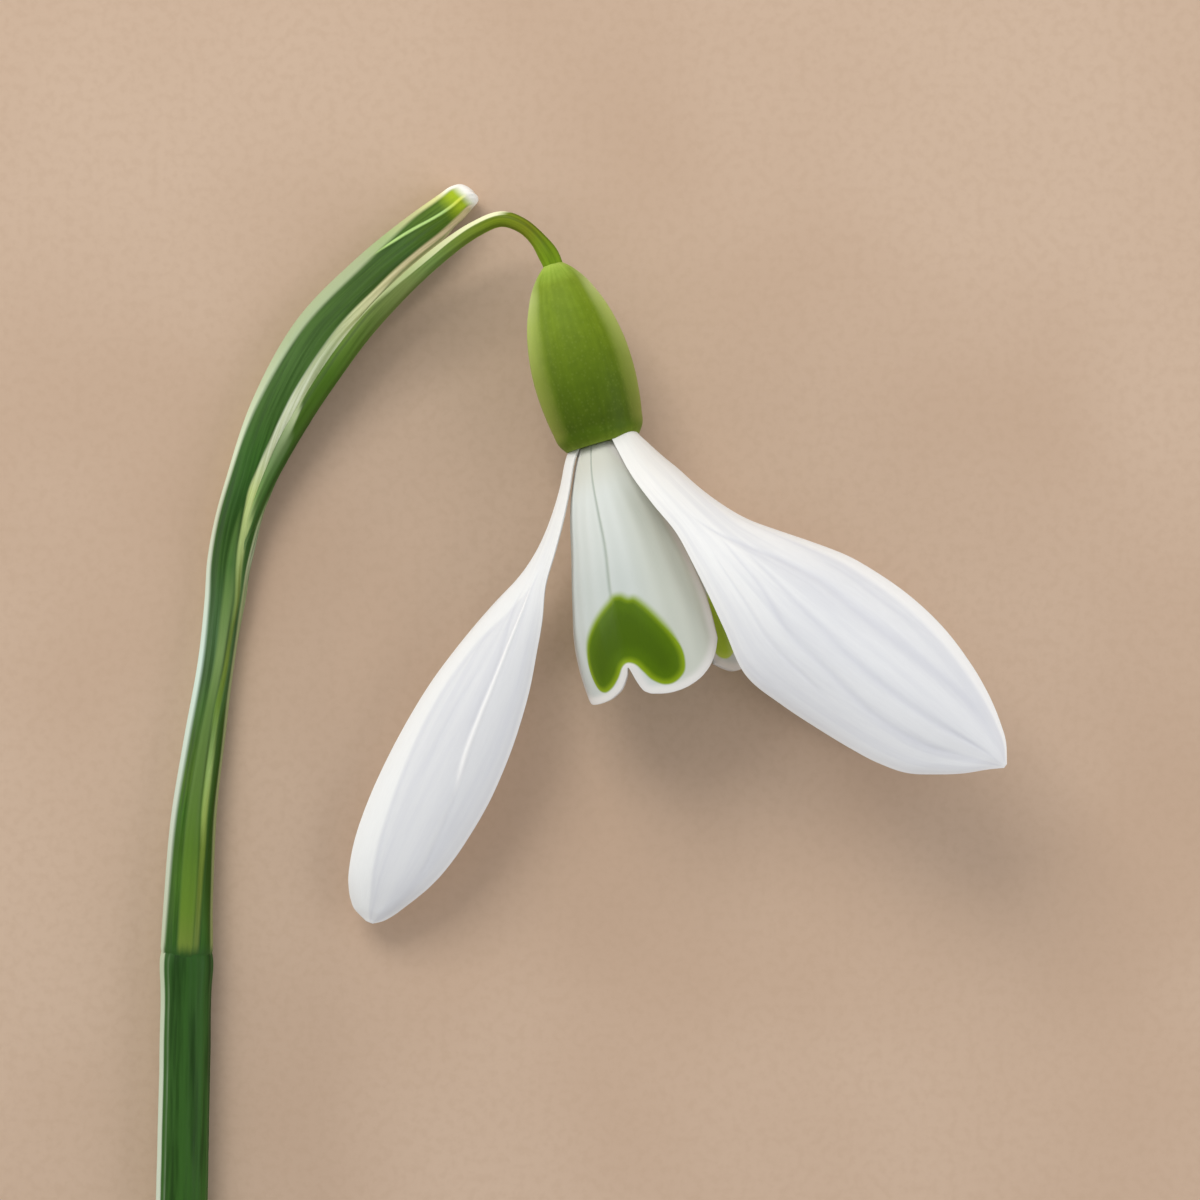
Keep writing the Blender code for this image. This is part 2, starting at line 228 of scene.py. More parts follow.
@dataclass
class Shell:
    """A thin curved sheet with two faces and a closed rim, made from two grids of points."""

    name: str
    outer: np.ndarray
    inner: np.ndarray
    values: dict[Spot, np.ndarray]
    closed_rows: int = 0

    def faces(self) -> list[tuple[int, int, int, int]]:
        """List the quads of both faces and of the rim.

        Returns:
            The numbers of the points of each quad.
        """
        rows, columns = self.outer.shape[:2]
        size = rows * columns
        made = []
        for row in range(rows - 1):
            for column in range(columns - 1):
                first = row * columns + column
                right, below = first + 1, first + columns
                made.append((first, below, below + 1, right))
                made.append((first + size, right + size, below + 1 + size, below + size))
        for row in range(max(self.closed_rows - 1, 0), rows - 1):
            low, high = row * columns, (row + 1) * columns
            made.append((low, low + size, high + size, high))
            low, high = low + columns - 1, high + columns - 1
            made.append((low, high, high + size, low + size))
        for column in range(columns - 1):
            last = (rows - 1) * columns + column
            made.append((column, column + 1, column + 1 + size, column + size))
            made.append((last, last + size, last + 1 + size, last + 1))
        return made

    def build(self) -> bpy.types.Object:
        """Make the object, with its values stored on its points.

        Returns:
            The new object.
        """
        points = np.concatenate([self.outer.reshape(-1, 3), self.inner.reshape(-1, 3)]) * MM
        mesh = bpy.data.meshes.new(self.name)
        mesh.from_pydata([Vector(point) for point in points], [], self.faces())
        for spot, grid in self.values.items():
            store(mesh, spot.value, np.tile(np.asarray(grid).reshape(-1), 2))
        store(mesh, Spot.INSIDE.value, np.repeat([0.0, 1.0], len(points) // 2))
        piece = add_object(self.name, mesh)
        tidy_mesh(piece)
        return piece


def store(mesh: bpy.types.Mesh, name: str, values: np.ndarray) -> None:
    """Store one value per point on a mesh."""
    layer = mesh.attributes.new(name, "FLOAT", "POINT")
    layer.data.foreach_set("value", np.ascontiguousarray(values, np.float32).reshape(-1))


def add_object(name: str, data: bpy.types.ID) -> bpy.types.Object:
    """Put a mesh, a light or a camera into the scene.

    Args:
        name: the object's name.
        data: its mesh, light or camera.

    Returns:
        The new object.
    """
    made = bpy.data.objects.new(name, data)
    bpy.context.scene.collection.objects.link(made)
    return made


def tidy_mesh(piece: bpy.types.Object) -> None:
    """Merge doubled points, turn faces outwards and shade them smoothly.

    Args:
        piece: the object whose mesh is tidied in place.
    """
    work = bmesh.new()
    work.from_mesh(piece.data)
    bmesh.ops.remove_doubles(work, verts=work.verts, dist=0.002 * MM)
    bmesh.ops.dissolve_degenerate(work, edges=work.edges, dist=0.001 * MM)
    bmesh.ops.recalc_face_normals(work, faces=work.faces)
    for face in work.faces:
        face.smooth = len(face.verts) <= 4
    work.to_mesh(piece.data)
    work.free()


class Kind(Enum):
    """Kinds of node: the type name, the inputs that a call's values feed in order, and the settings."""

    MIX = ("ShaderNodeMix", (0, 6, 7), {"data_type": "RGBA"})
    TINT = ("ShaderNodeMix", (0, 6, 7), {"data_type": "RGBA", "blend_type": "MULTIPLY"})
    RISE = ("ShaderNodeMapRange", (0, 1, 2, 4), {"interpolation_type": "SMOOTHSTEP"})
    TONES = ("ShaderNodeValToRGB", (0,), {})
    PLUS = ("ShaderNodeMath", (0, 1), {"operation": "ADD"})
    MINUS = ("ShaderNodeMath", (0, 1), {"operation": "SUBTRACT"})
    TIMES = ("ShaderNodeMath", (0, 1), {"operation": "MULTIPLY"})
    OVER = ("ShaderNodeMath", (0, 1), {"operation": "DIVIDE"})
    SINE = ("ShaderNodeMath", (0,), {"operation": "SINE"})
    COSINE = ("ShaderNodeMath", (0,), {"operation": "COSINE"})
    TURN = ("ShaderNodeMath", (0, 1), {"operation": "ARCTAN2"})
    POINT = ("ShaderNodeCombineXYZ", (0, 1, 2), {})
    PARTS = ("ShaderNodeSeparateXYZ", (0,), {})
    STRETCH = ("ShaderNodeVectorMath", (0, 1), {"operation": "MULTIPLY"})
    SHIFT = ("ShaderNodeVectorMath", (0, 1), {"operation": "ADD"})
    FROM = ("ShaderNodeVectorMath", (0, 1), {"operation": "SUBTRACT"})
    REACH = ("ShaderNodeVectorMath", (0,), {"operation": "LENGTH"})
    NOISE = ("ShaderNodeTexNoise", ("Vector", "Scale", "Detail", "Roughness"), {})
    BUMP = ("ShaderNodeBump", ("Height", "Distance", "Strength"), {})
    VALUE = ("GeometryNodeInputNamedAttribute", ("Name",), {"data_type": "FLOAT"})
    DIRECTION = ("GeometryNodeInputNamedAttribute", ("Name",), {"data_type": "FLOAT_VECTOR"})


def linear(code: str) -> Color:
    """Turn an sRGB hex colour into linear red, green, blue and alpha.

    Args:
        code: the colour, such as "#a0b1c2".

    Returns:
        The colour in linear values, with an alpha of 1.
    """
    parts = [int(code[place : place + 2], 16) / 255.0 for place in (1, 3, 5)]
    red, green, blue = (c / 12.92 if c <= 0.04045 else ((c + 0.055) / 1.055) ** 2.4 for c in parts)
    return (red, green, blue, 1.0)


def feed(tree: bpy.types.NodeTree, entry: bpy.types.NodeSocket, value: Any) -> None:
    """Feed a node's input.

    Args:
        tree: the tree of the node.
        entry: the input.
        value: an output, a node for its first output in use, a Spot for what the mesh carries by
            that name, a hex colour, or the input's own value.
    """
    if isinstance(value, Spot):
        carried = add_node(tree, "ShaderNodeAttribute", attribute_name=value.value)
        value = carried.outputs["Vector" if value is Spot.AROUND else "Fac"]
    if isinstance(value, bpy.types.Node):
        value = next(output for output in value.outputs if output.enabled)
    if isinstance(value, bpy.types.NodeSocket):
        tree.links.new(value, entry)
    elif isinstance(value, str) and value.startswith("#"):
        entry.default_value = linear(value)
    else:
        entry.default_value = value


def add_node(
    tree: bpy.types.NodeTree,
    kind: Kind | str,
    *values: Any,
    links: dict[Any, Any] | None = None,
    stops: Stops = (),
    **settings: Any,
) -> bpy.types.Node:
    """Add a node to a tree with its settings and links.

    Args:
        tree: the tree that takes the node.
        kind: its kind, or its type name.
        *values: what feeds the kind's inputs, in their order.
        links: what feeds other inputs, by name or number.
        stops: place and colour of each stop of a colour ramp.
        **settings: the node's own properties.

    Returns:
        The new node.
    """
    type_name, inputs, given = kind.value if isinstance(kind, Kind) else (kind, (), {})
    node = tree.nodes.new(type_name)
    for name, value in {**given, **settings}.items():
        setattr(node, name, value)
    for key, value in (*zip(inputs, values), *(links or {}).items()):
        feed(tree, node.inputs[key], value)
    if stops:
        ramp = node.color_ramp
        while len(ramp.elements) < len(stops):
            ramp.elements.new(1.0)
        for element, (place, color) in zip(ramp.elements, stops):
            element.position = place
            element.color = linear(color)
    return node


# ---------------------------------------------------------------------------------------------------
# Finishes


@dataclass(frozen=True)
class Finish:
    """What every living skin has: a name, its gloss, and how light spreads in it."""

    name: str
    roughness: float = 0.5
    ior: float = 1.42
    scatter: float = 0.0
    scatter_depth: float = 0.5
    sheen: float = 0.0
    sheen_roughness: float = 0.4

    def start(self) -> tuple[bpy.types.Material, bpy.types.Node, Add]:
        """Make the material with its shader's plain settings.

        Returns:
            The material, its shader, and add_node for its tree.
        """
        material = bpy.data.materials.new(self.name)
        material.use_nodes = True
        shader = material.node_tree.nodes["Principled BSDF"]
        plain = {
            "Roughness": self.roughness,
            "IOR": self.ior,
            "Subsurface Weight": self.scatter,
            "Subsurface Radius": (1.0, 1.0, 1.0),
            "Subsurface Scale": self.scatter_depth * MM,
            "Sheen Weight": self.sheen,
            "Sheen Roughness": self.sheen_roughness,
        }
        for name, value in plain.items():
            feed(material.node_tree, shader.inputs[name], value)
        return material, shader, partial(add_node, material.node_tree)

    def dress(
        self, shader: bpy.types.Node, color: Any, relief: tuple[Any, float, float], gloss: Any = None
    ) -> None:
        """Feed the shader.

        Args:
            shader: the material's shader.
            color: what gives its colour.
            relief: what gives the height of a fine relief, its depth in millimetres and its strength.
            gloss: what gives its roughness, where that varies.
        """
        tree, (height, depth, strength) = shader.id_data, relief
        feed(tree, shader.inputs["Base Color"], color)
        feed(tree, shader.inputs["Normal"], add_node(tree, Kind.BUMP, height, depth * MM, strength))
        if gloss:
            feed(tree, shader.inputs["Roughness"], gloss)

    def fibres(self, add: Add, across_mm: float, along_mm: float, detail: float = 3.0) -> bpy.types.Node:
        """Draw streaks along a stalk, from its round and lengthwise places.

        Args:
            add: adds a node to the material's tree.
            across_mm: width of a streak on a stalk of 1 mm radius.
            along_mm: length of a streak.
            detail: how much finer structure the streaks carry.

        Returns:
            The streaks, about 0.5 on average.
        """
        around = add(Kind.STRETCH, Spot.AROUND, (1.0 / across_mm, 1.0 / across_mm, 0.0))
        lengthwise = add(Kind.POINT, 0.0, 0.0, add(Kind.OVER, Spot.ALONG, along_mm))
        return add(Kind.NOISE, add(Kind.SHIFT, around, lengthwise), 1.0, detail, 0.55)

    def speckle(self, add: Add, size_mm: float, detail: float = 2.0) -> bpy.types.Node:
        """Draw an even mottle with spots of one size, in the piece's own coordinates."""
        return add(Kind.NOISE, add("ShaderNodeTexCoord").outputs["Object"], 1.0 / (size_mm * MM), detail)


@dataclass(frozen=True)
class StalkSkin(Finish):
    """Live stalk: a waxy green skin over fine lengthwise strands, which show as darker and lighter bands."""

    shades: Stops = ()
    pale: Stops = ()
    contrast: str = "#a6b598"
    band_mm: float = 0.42

    def build(self) -> bpy.types.Material:
        """Make the material.

        Returns:
            The material.
        """
        material, shader, add = self.start()
        bands = self.fibres(add, self.band_mm, 9.0, 2.0)
        fine = self.fibres(add, self.band_mm * 0.3, 3.0, 4.0)
        streaks = add(Kind.PLUS, add(Kind.TIMES, bands, 0.72), add(Kind.TIMES, fine, 0.28))
        body = add(Kind.TONES, Spot.ACROSS, stops=self.shades)
        shaded = add(Kind.TINT, 1.0, body, self.contrast)
        color = add(Kind.MIX, add(Kind.RISE, streaks, 0.36, 0.60), shaded, body)
        # Painted highlight: the lit side takes the pale tones.
        pale = add(Kind.RISE, Spot.PALE_SIDE, -0.10, 0.12, 0.95)
        color = add(Kind.MIX, pale, color, add(Kind.TONES, Spot.ACROSS, stops=self.pale))
        gloss = add(Kind.PLUS, add(Kind.RISE, fine, 0.3, 0.7, 0.16), self.roughness - 0.08)
        self.dress(shader, color, (streaks, 0.05, 0.5), gloss)
        return material


@dataclass(frozen=True)
class SheathSkin(Finish):
    """Live sheath: two green keeled bracts, pale at the keel, joined by thin papery membrane through
    which the flower stalk shows as a bright stripe; keel and stripe are partly painted highlight.
    Its hooded tip is colourless."""

    face: Stops = (
        (0.0, "#2f581a"), (0.02, "#335e1b"), (0.05, "#3b611c"), (0.09, "#436b1c"), (0.13, "#3e6116"),
        (0.17, "#406a1c"), (0.21, "#4b6a1f"), (0.25, "#446424"), (0.29, "#496d31"), (0.33, "#476538"),
        (0.37, "#496a3f"), (0.41, "#416334"), (0.45, "#395c23"), (0.49, "#32561b"), (0.53, "#32591f"),
        (0.58, "#376220"), (0.63, "#406427"), (0.70, "#47692e"), (0.78, "#466729"), (0.84, "#456427"),
        (0.89, "#486a2a"), (0.93, "#527023"), (1.0, "#6d8f24"),
    )
    # The keel's pale tones: partly its own paleness, partly a painted rim highlight.
    keel: Stops = (
        (0.0, "#b9c4a6"), (0.16, "#c6d1c0"), (0.34, "#cfe6da"), (0.50, "#cdd3ba"), (0.58, "#d2dfc2"),
        (0.65, "#bccba8"), (0.72, "#a9ba92"), (0.84, "#a8b58c"), (0.88, "#a3b880"), (0.92, "#bfc48c"),
        (0.955, "#dfe29a"), (0.97, "#fffdf0"), (1.0, "#fffdf0"),
    )
    # The stripe: partly pale membrane, partly a painted highlight of the flower stalk beneath it.
    stripe: Stops = (
        (0.0, "#6f8238"), (0.03, "#768a42"), (0.09, "#748832"), (0.13, "#748b34"), (0.17, "#96ad56"),
        (0.22, "#96b266"), (0.26, "#7c9b54"), (0.30, "#729236"), (0.34, "#82993e"), (0.38, "#6c8338"),
        (0.43, "#8ea35c"), (0.48, "#b0c47c"), (0.54, "#cede94"), (0.59, "#e2e8cc"), (0.66, "#eaf0d6"),
        (0.74, "#e6f0ce"), (0.80, "#e6e9b8"), (0.84, "#e6e0b0"), (0.89, "#dacca4"), (0.93, "#d8c6a0"),
        (0.96, "#eed8b0"), (1.0, "#f2e2bc"),
    )
    vein: Stops = (
        (0.0, "#78883a"), (0.06, "#66852a"), (0.13, "#5a7c29"), (0.21, "#5f7d3a"), (0.29, "#668442"),
        (0.35, "#7f9b5a"), (0.41, "#6c8b4a"), (0.45, "#507638"), (0.50, "#547435"), (1.0, "#4a6a2e"),
    )
    foot: str = "#2f5420"
    # The membrane beyond the stripe: next to it, further out, and its very edge.
    film: Stops = (
        (0.0, "#7c9162"), (0.50, "#6d8d54"), (0.55, "#8ca678"), (0.58, "#98a880"), (0.62, "#b6c6a2"),
        (0.68, "#c2cda6"), (0.76, "#b4be90"), (0.82, "#aeb080"), (0.88, "#b2b07c"), (1.0, "#b4aa78"),
    )
    far_film: Stops = (
        (0.0, "#5d7543"), (0.50, "#3e5c2a"), (0.54, "#5f8048"), (0.58, "#748a5a"), (0.62, "#5c7240"),
        (0.68, "#4c6826"), (0.80, "#7c8a4a"), (0.88, "#a0a068"), (1.0, "#aca26c"),
    )
    edge: Stops = (
        (0.0, "#90985e"), (0.42, "#a4ae7c"), (0.46, "#c0caa2"), (0.51, "#aab888"), (0.54, "#5f7a44"),
        (0.62, "#526a34"), (0.70, "#8a9868"), (0.80, "#b0b68a"), (0.90, "#bab486"), (1.0, "#c4b890"),
    )
    # Painted shade on the far side of the wall.
    shade: str = "#274506"
    streak: str = "#cdd6c4"
    stripe_streak: str = "#d9dcc6"
    ridge: str = "#b6da84"
    # Near the tip: the green sides, the ridge on them, and the hood.
    yellow: str = "#a4bc1e"
    ridge_yellow: str = "#e0ea58"
    hood: str = "#fefdf6"
    length_mm: float = SHEATH_LENGTH

    def build(self) -> bpy.types.Material:
        """Make the material.

        Returns:
            The material.
        """
        material, shader, add = self.start()
        across, along = add(Kind.TIMES, Spot.ACROSS, 5.0), add(Kind.TIMES, Spot.ALONG, 0.16)
        place = add(Kind.POINT, across, along, Spot.INSIDE)
        bands = add(Kind.NOISE, place, 1.0, 5.0, 0.6)
        share = add(Kind.OVER, Spot.ALONG, self.length_mm)
        light = add(Kind.RISE, bands, 0.36, 0.62)
        face = add(Kind.TONES, share, stops=self.face)
        color = add(Kind.MIX, light, add(Kind.TINT, 1.0, face, self.streak), face)
        # Painted shade on the wall's far side.
        color = add(Kind.MIX, add(Kind.RISE, Spot.SHADE, -0.25, 0.25), color, self.shade)
        vein = add(Kind.RISE, Spot.VEIN, -0.10, 0.16, 0.9)
        color = add(Kind.MIX, vein, color, add(Kind.TONES, share, stops=self.vein))
        # The bright stripe: partly pale membrane, partly painted highlight of the flower stalk beneath.
        stripe = add(Kind.TONES, share, stops=self.stripe)
        glow = add(Kind.MIX, light, add(Kind.TINT, 1.0, stripe, self.stripe_streak), stripe)
        striped = add(Kind.RISE, Spot.STRIPE, -0.07, 0.09)
        color = add(Kind.MIX, striped, color, glow)
        near, far = (add(Kind.TONES, share, stops=stops) for stops in (self.film, self.far_film))
        film = add(Kind.MIX, add(Kind.RISE, Spot.MEMBRANE, 0.10, 0.80), near, far)
        open_part = add(Kind.RISE, share, 0.505, 0.550)
        covered = add(Kind.TIMES, add(Kind.RISE, Spot.MEMBRANE, -0.05, 0.14), open_part)
        color = add(Kind.MIX, covered, color, film)
        margin = add(Kind.RISE, Spot.MARGIN, 0.12, 0.03, 0.85)
        color = add(Kind.MIX, margin, color, add(Kind.TONES, share, stops=self.edge))
        # Pale keel, partly a painted rim highlight.
        keel = add(Kind.RISE, Spot.KEEL, -0.14, 0.10)
        color = add(Kind.MIX, keel, color, add(Kind.TONES, share, stops=self.keel))
        ridge = add(Kind.RISE, Spot.RIDGE, -0.02, 0.08)
        color = add(Kind.MIX, ridge, color, self.ridge)
        foot = add(Kind.PLUS, Spot.ALONG, add(Kind.TIMES, bands, 0.4))
        beside = add(Kind.MINUS, 1.0, keel)
        color = add(Kind.MIX, add(Kind.TIMES, add(Kind.RISE, foot, 1.35, 0.55), beside), color, self.foot)
        yellow = add(Kind.TIMES, add(Kind.RISE, share, 0.948, 0.969), beside)
        yellow = add(Kind.TIMES, yellow, add(Kind.MINUS, 1.0, striped))
        color = add(Kind.MIX, yellow, color, add(Kind.MIX, ridge, self.yellow, self.ridge_yellow))
        color = add(Kind.MIX, add(Kind.RISE, share, 0.969, 0.984), color, self.hood)
        gloss = add(Kind.PLUS, add(Kind.RISE, bands, 0.3, 0.7, 0.12), self.roughness - 0.06)
        self.dress(shader, color, (bands, 0.06, 0.4), gloss)
        return material


@dataclass(frozen=True)
class OvarySkin(Finish):
    """Live ovary: a thin olive skin, brighter at its top and rims, with faint lines and fine pores."""

    shades: Stops = ()
    pale: Stops = ()
    line: str = "#e9ecdc"
    mottle: str = "#d6dcc0"
    pore: str = "#b4c366"
    pore_mm: float = 0.22

    def build(self) -> bpy.types.Material:
        """Make the material.

        Returns:
            The material.
        """
        material, shader, add = self.start()
        body = add(Kind.TONES, Spot.ACROSS, stops=self.shades)
        strands = self.fibres(add, 0.16, 6.0, 3.0)
        color = add(Kind.MIX, add(Kind.RISE, strands, 0.3, 0.7), add(Kind.TINT, 1.0, body, self.line), body)
        mottle = add(Kind.RISE, self.speckle(add, 0.55), 0.35, 0.7, 0.4)
        color = add(Kind.MIX, mottle, color, add(Kind.TINT, 1.0, body, self.mottle))
        place = add("ShaderNodeTexCoord").outputs["Object"]
        pores = add("ShaderNodeTexVoronoi", links={"Vector": place, "Scale": 1.0 / (self.pore_mm * MM)})
        color = add(Kind.MIX, add(Kind.RISE, pores, 0.42, 0.12, 0.05), color, self.pore)
        # Painted highlight down both flanks: points that face sideways take the pale tones.
        pale = add(Kind.RISE, Spot.PALE_SIDE, -0.20, 0.12, 0.85)
        color = add(Kind.MIX, pale, color, add(Kind.TONES, Spot.ACROSS, stops=self.pale))
        self.dress(shader, color, (add(Kind.PLUS, strands, add(Kind.TIMES, pores, 0.3)), 0.03, 0.4))
        return material


@dataclass(frozen=True)
class PetalSkin(Finish):
    """White petal: no pigment, its white comes from air between the cells, so it is soft, matt and lets
    light through. Veins lie in furrows, which painted shade makes faintly grey-lavender; a painted
    highlight makes one margin band whiter."""

    white: str = "#f6f7f5"
    body: str = "#e6e8ea"
    # Painted shade for the furrows and faint bands.
    furrow_shade: str = "#ced0d8"
    claw: str = "#f2f1ea"
    rim: str = "#f8f8f4"
    # Painted highlight for the crests of the folds.
    fold: str = "#fdfdfb"
    grain: str = "#c9c9d0"
    white_until: tuple[float, float] = (0.28, 0.56)

    def build(self) -> bpy.types.Material:
        """Make the material.

        Returns:
            The material.
        """
        material, shader, add = self.start()
        cells = self.cells(add)
        place = add(Kind.POINT, add(Kind.TIMES, Spot.ACROSS, 4.5), add(Kind.TIMES, Spot.ALONG, 1.6))
        bands = add(Kind.NOISE, place, 1.0, 3.0)
        color = add(Kind.MIX, add(Kind.RISE, Spot.ALONG, *self.white_until), self.white, self.body)
        # Painted shade in faint bands across the blade.
        color = add(Kind.MIX, add(Kind.RISE, bands, 0.40, 0.66, 0.35), color, self.furrow_shade)
        # Painted highlight on the margin band that faces the light.
        color = add(Kind.MIX, Spot.BAND, color, self.white)
        # Painted shade in the furrows.
        color = add(Kind.MIX, add(Kind.TIMES, Spot.FURROW, 0.55), color, self.furrow_shade)
        color = add(Kind.MIX, add(Kind.RISE, Spot.ALONG, 0.30, 0.06, 0.8), color, self.claw)
        color = add(Kind.MIX, add(Kind.RISE, Spot.MARGIN, 0.26, 0.05, 0.4), color, self.rim)
        # Painted highlight along each fold's crest.
        color = add(Kind.MIX, add(Kind.TIMES, Spot.RIDGE, 0.9), color, self.fold)
        color = add(Kind.MIX, add(Kind.RISE, cells, 0.25, 0.75, 0.10), color, self.grain)
        self.dress(shader, color, (cells, 0.02, 0.25))
        return material

    def cells(self, add: Add) -> bpy.types.Node:
        """Draw the petal's long cells: about 0.12 mm wide here, coarser than real so that they show.

        Args:
            add: adds a node to the material's tree.

        Returns:
            The cells, about 0.5 on average.
        """
        across, along = add(Kind.TIMES, Spot.ACROSS, 34.0), add(Kind.TIMES, Spot.ALONG, 26.0)
        place = add(Kind.POINT, across, along, Spot.INSIDE)
        return add(Kind.NOISE, place, 1.0, 4.0, 0.6)


@dataclass(frozen=True)
class InnerPetalSkin(PetalSkin):
    """Inner petal: thinner and glassier than the outer ones, with a green mark round its notch and green
    lines on its inner face."""

    furrow_shade: str = "#a2ada1"
    body: str = "#c7ceca"
    rim: str = "#dedcd8"
    base: str = "#cfd0c4"
    light: str = "#dadfda"
    # Painted shade on the right part of the blade.
    painted_shade: str = "#c8ccbf"
    lining: str = "#8fae4c"
    mark_rim: str = "#86a014"
    mark_mid: str = "#506e00"
    mark_deep: str = "#466200"

    def build(self) -> bpy.types.Material:
        """Make the material.

        Returns:
            The material.
        """
        material, shader, add = self.start()
        cells = self.cells(add)
        color = add(Kind.MIX, add(Kind.RISE, Spot.ALONG, 0.06, 0.22), self.base, self.light)
        color = add(Kind.MIX, add(Kind.RISE, Spot.ALONG, 0.24, 0.58), color, self.body)
        # Painted shade on the right part of the blade, fading in below its top.
        right, below = add(Kind.RISE, Spot.ACROSS, 0.10, 0.62, 0.85), add(Kind.RISE, Spot.ALONG, 0.02, 0.3)
        color = add(Kind.MIX, add(Kind.TIMES, right, below), color, self.painted_shade)
        # Painted shade in the groove and the fine vein furrows.
        color = add(Kind.MIX, add(Kind.TIMES, Spot.FURROW, 0.8), color, self.furrow_shade)
        color = add(Kind.MIX, add(Kind.RISE, Spot.MARGIN, 0.62, 0.20, 0.9), color, self.rim)
        lines = add(Kind.SINE, add(Kind.TIMES, Spot.ACROSS, 19.0))
        lining = add(Kind.TIMES, add(Kind.RISE, lines, 0.0, 0.6, 0.75), Spot.INSIDE)
        lining = add(Kind.TIMES, lining, add(Kind.RISE, Spot.ALONG, 0.22, 0.5))
        lining = add(Kind.TIMES, lining, add(Kind.RISE, Spot.MARGIN, 0.4, 0.9))
        color = add(Kind.MIX, lining, color, self.lining)
        inside = add(Kind.RISE, Spot.MARK, add(Kind.TIMES, Spot.SOFTNESS, -1.0), Spot.SOFTNESS)
        depth = add(Kind.PLUS, Spot.MARK, add(Kind.TIMES, cells, 0.3))
        green = add(Kind.MIX, add(Kind.RISE, Spot.MARK, 0.02, 0.42), self.mark_rim, self.mark_mid)
        green = add(Kind.MIX, add(Kind.RISE, depth, 0.45, 1.25), green, self.mark_deep)
        color = add(Kind.MIX, inside, color, green)
        gloss = add(Kind.MINUS, self.roughness, add(Kind.TIMES, inside, 0.12))
        self.dress(shader, color, (cells, 0.025, 0.3), gloss)
        return material


@dataclass(frozen=True)
class PollenSkin(Finish):
    """Anther: a matt orange-yellow pollen sac, dusty and finely grained."""

    deep: str = "#c77c12"
    dusty: str = "#f0b23a"

    def build(self) -> bpy.types.Material:
        """Make the material.

        Returns:
            The material.
        """
        material, shader, add = self.start()
        dust = self.speckle(add, 0.09, 4.0)
        color = add(Kind.MIX, add(Kind.RISE, dust, 0.35, 0.65), self.deep, self.dusty)
        self.dress(shader, color, (dust, 0.04, 0.7))
        return material


@dataclass(frozen=True)
class ThreadSkin(Finish):
    """Filament or style: a smooth pale thread, a little see-through, greener towards its foot."""

    foot: str = "#dfe8c4"
    thread: str = "#f2f4e6"
    streak: str = "#cfd9a8"

    def build(self) -> bpy.types.Material:
        """Make the material.

        Returns:
            The material.
        """
        material, shader, add = self.start()
        streaks = self.fibres(add, 0.6, 2.0)
        color = add(Kind.MIX, add(Kind.RISE, Spot.ACROSS, 0.1, 0.6), self.foot, self.thread)
        color = add(Kind.MIX, add(Kind.RISE, streaks, 0.3, 0.7, 0.3), color, self.streak)
        self.dress(shader, color, (streaks, 0.02, 0.4))
        return material


@dataclass(frozen=True)
class PithSkin(Finish):
    """Cut face of the stalk: moist pale pith with a greener ring of strands under the skin."""

    radius_mm: float = 1.37
    centre: Point = (0.0, 0.0, 0.0)
    rings: Stops = (
        (0.0, "#cfdcae"), (0.5, "#c3d49b"), (0.74, "#9dbb6a"), (0.86, "#86a955"), (1.0, "#3f6427"),
    )
    cell: str = "#e6edcf"

    def build(self) -> bpy.types.Material:
        """Make the material.

        Returns:
            The material.
        """
        material, shader, add = self.start()
        place = add("ShaderNodeTexCoord").outputs["Object"]
        reach = add(Kind.REACH, add(Kind.FROM, place, tuple(c * MM for c in self.centre)))
        rings = add(Kind.TONES, add(Kind.OVER, reach, self.radius_mm * MM), stops=self.rings)
        cells = self.speckle(add, 0.11, 2.0)
        color = add(Kind.MIX, add(Kind.RISE, cells, 0.35, 0.65, 0.4), rings, self.cell)
        self.dress(shader, color, (cells, 0.05, 0.6))
        return material


@dataclass(frozen=True)
class BackdropPaper(Finish):
    """Matt backdrop paper: pale warm tan, with a faint cloudy unevenness and a fine fibre grain."""

    tone: str = "#cfb59d"
    cloud: str = "#c6aa91"
    fibre: str = "#bda187"

    def build(self) -> bpy.types.Material:
        """Make the material.

        Returns:
            The material.
        """
        material, shader, add = self.start()
        clouds = add(Kind.RISE, self.speckle(add, 22.0, 2.0), 0.30, 0.75)
        grain = self.speckle(add, 0.5, 3.0)
        color = add(Kind.MIX, clouds, self.tone, self.cloud)
        color = add(Kind.MIX, add(Kind.RISE, grain, 0.4, 0.7, 0.25), color, self.fibre)
        self.dress(shader, color, (grain, 0.05, 0.25))
        return material


# ---------------------------------------------------------------------------------------------------
# Node trees that make meshes


def new_tree(name: str, inputs: Sequence[tuple[str, str, Any]]) -> tuple[bpy.types.NodeTree, Any, Add]:
    """Make a geometry tree with a geometry input and output, and named inputs for its sizes.

    Args:
        name: the tree's name.
        inputs: name, socket type and first value of each input.

    Returns:
        The tree, what it is given by input name, and add_node for it.
    """
    tree = bpy.data.node_groups.new(name, "GeometryNodeTree")
    tree.interface.new_socket("Geometry", in_out="OUTPUT", socket_type="NodeSocketGeometry")
    for label, kind, value in (("Geometry", "NodeSocketGeometry", None), *inputs):
        socket = tree.interface.new_socket(label, in_out="INPUT", socket_type=kind)
        if value is not None:
            socket.default_value = value
    return tree, tree.nodes.new("NodeGroupInput").outputs, partial(add_node, tree)


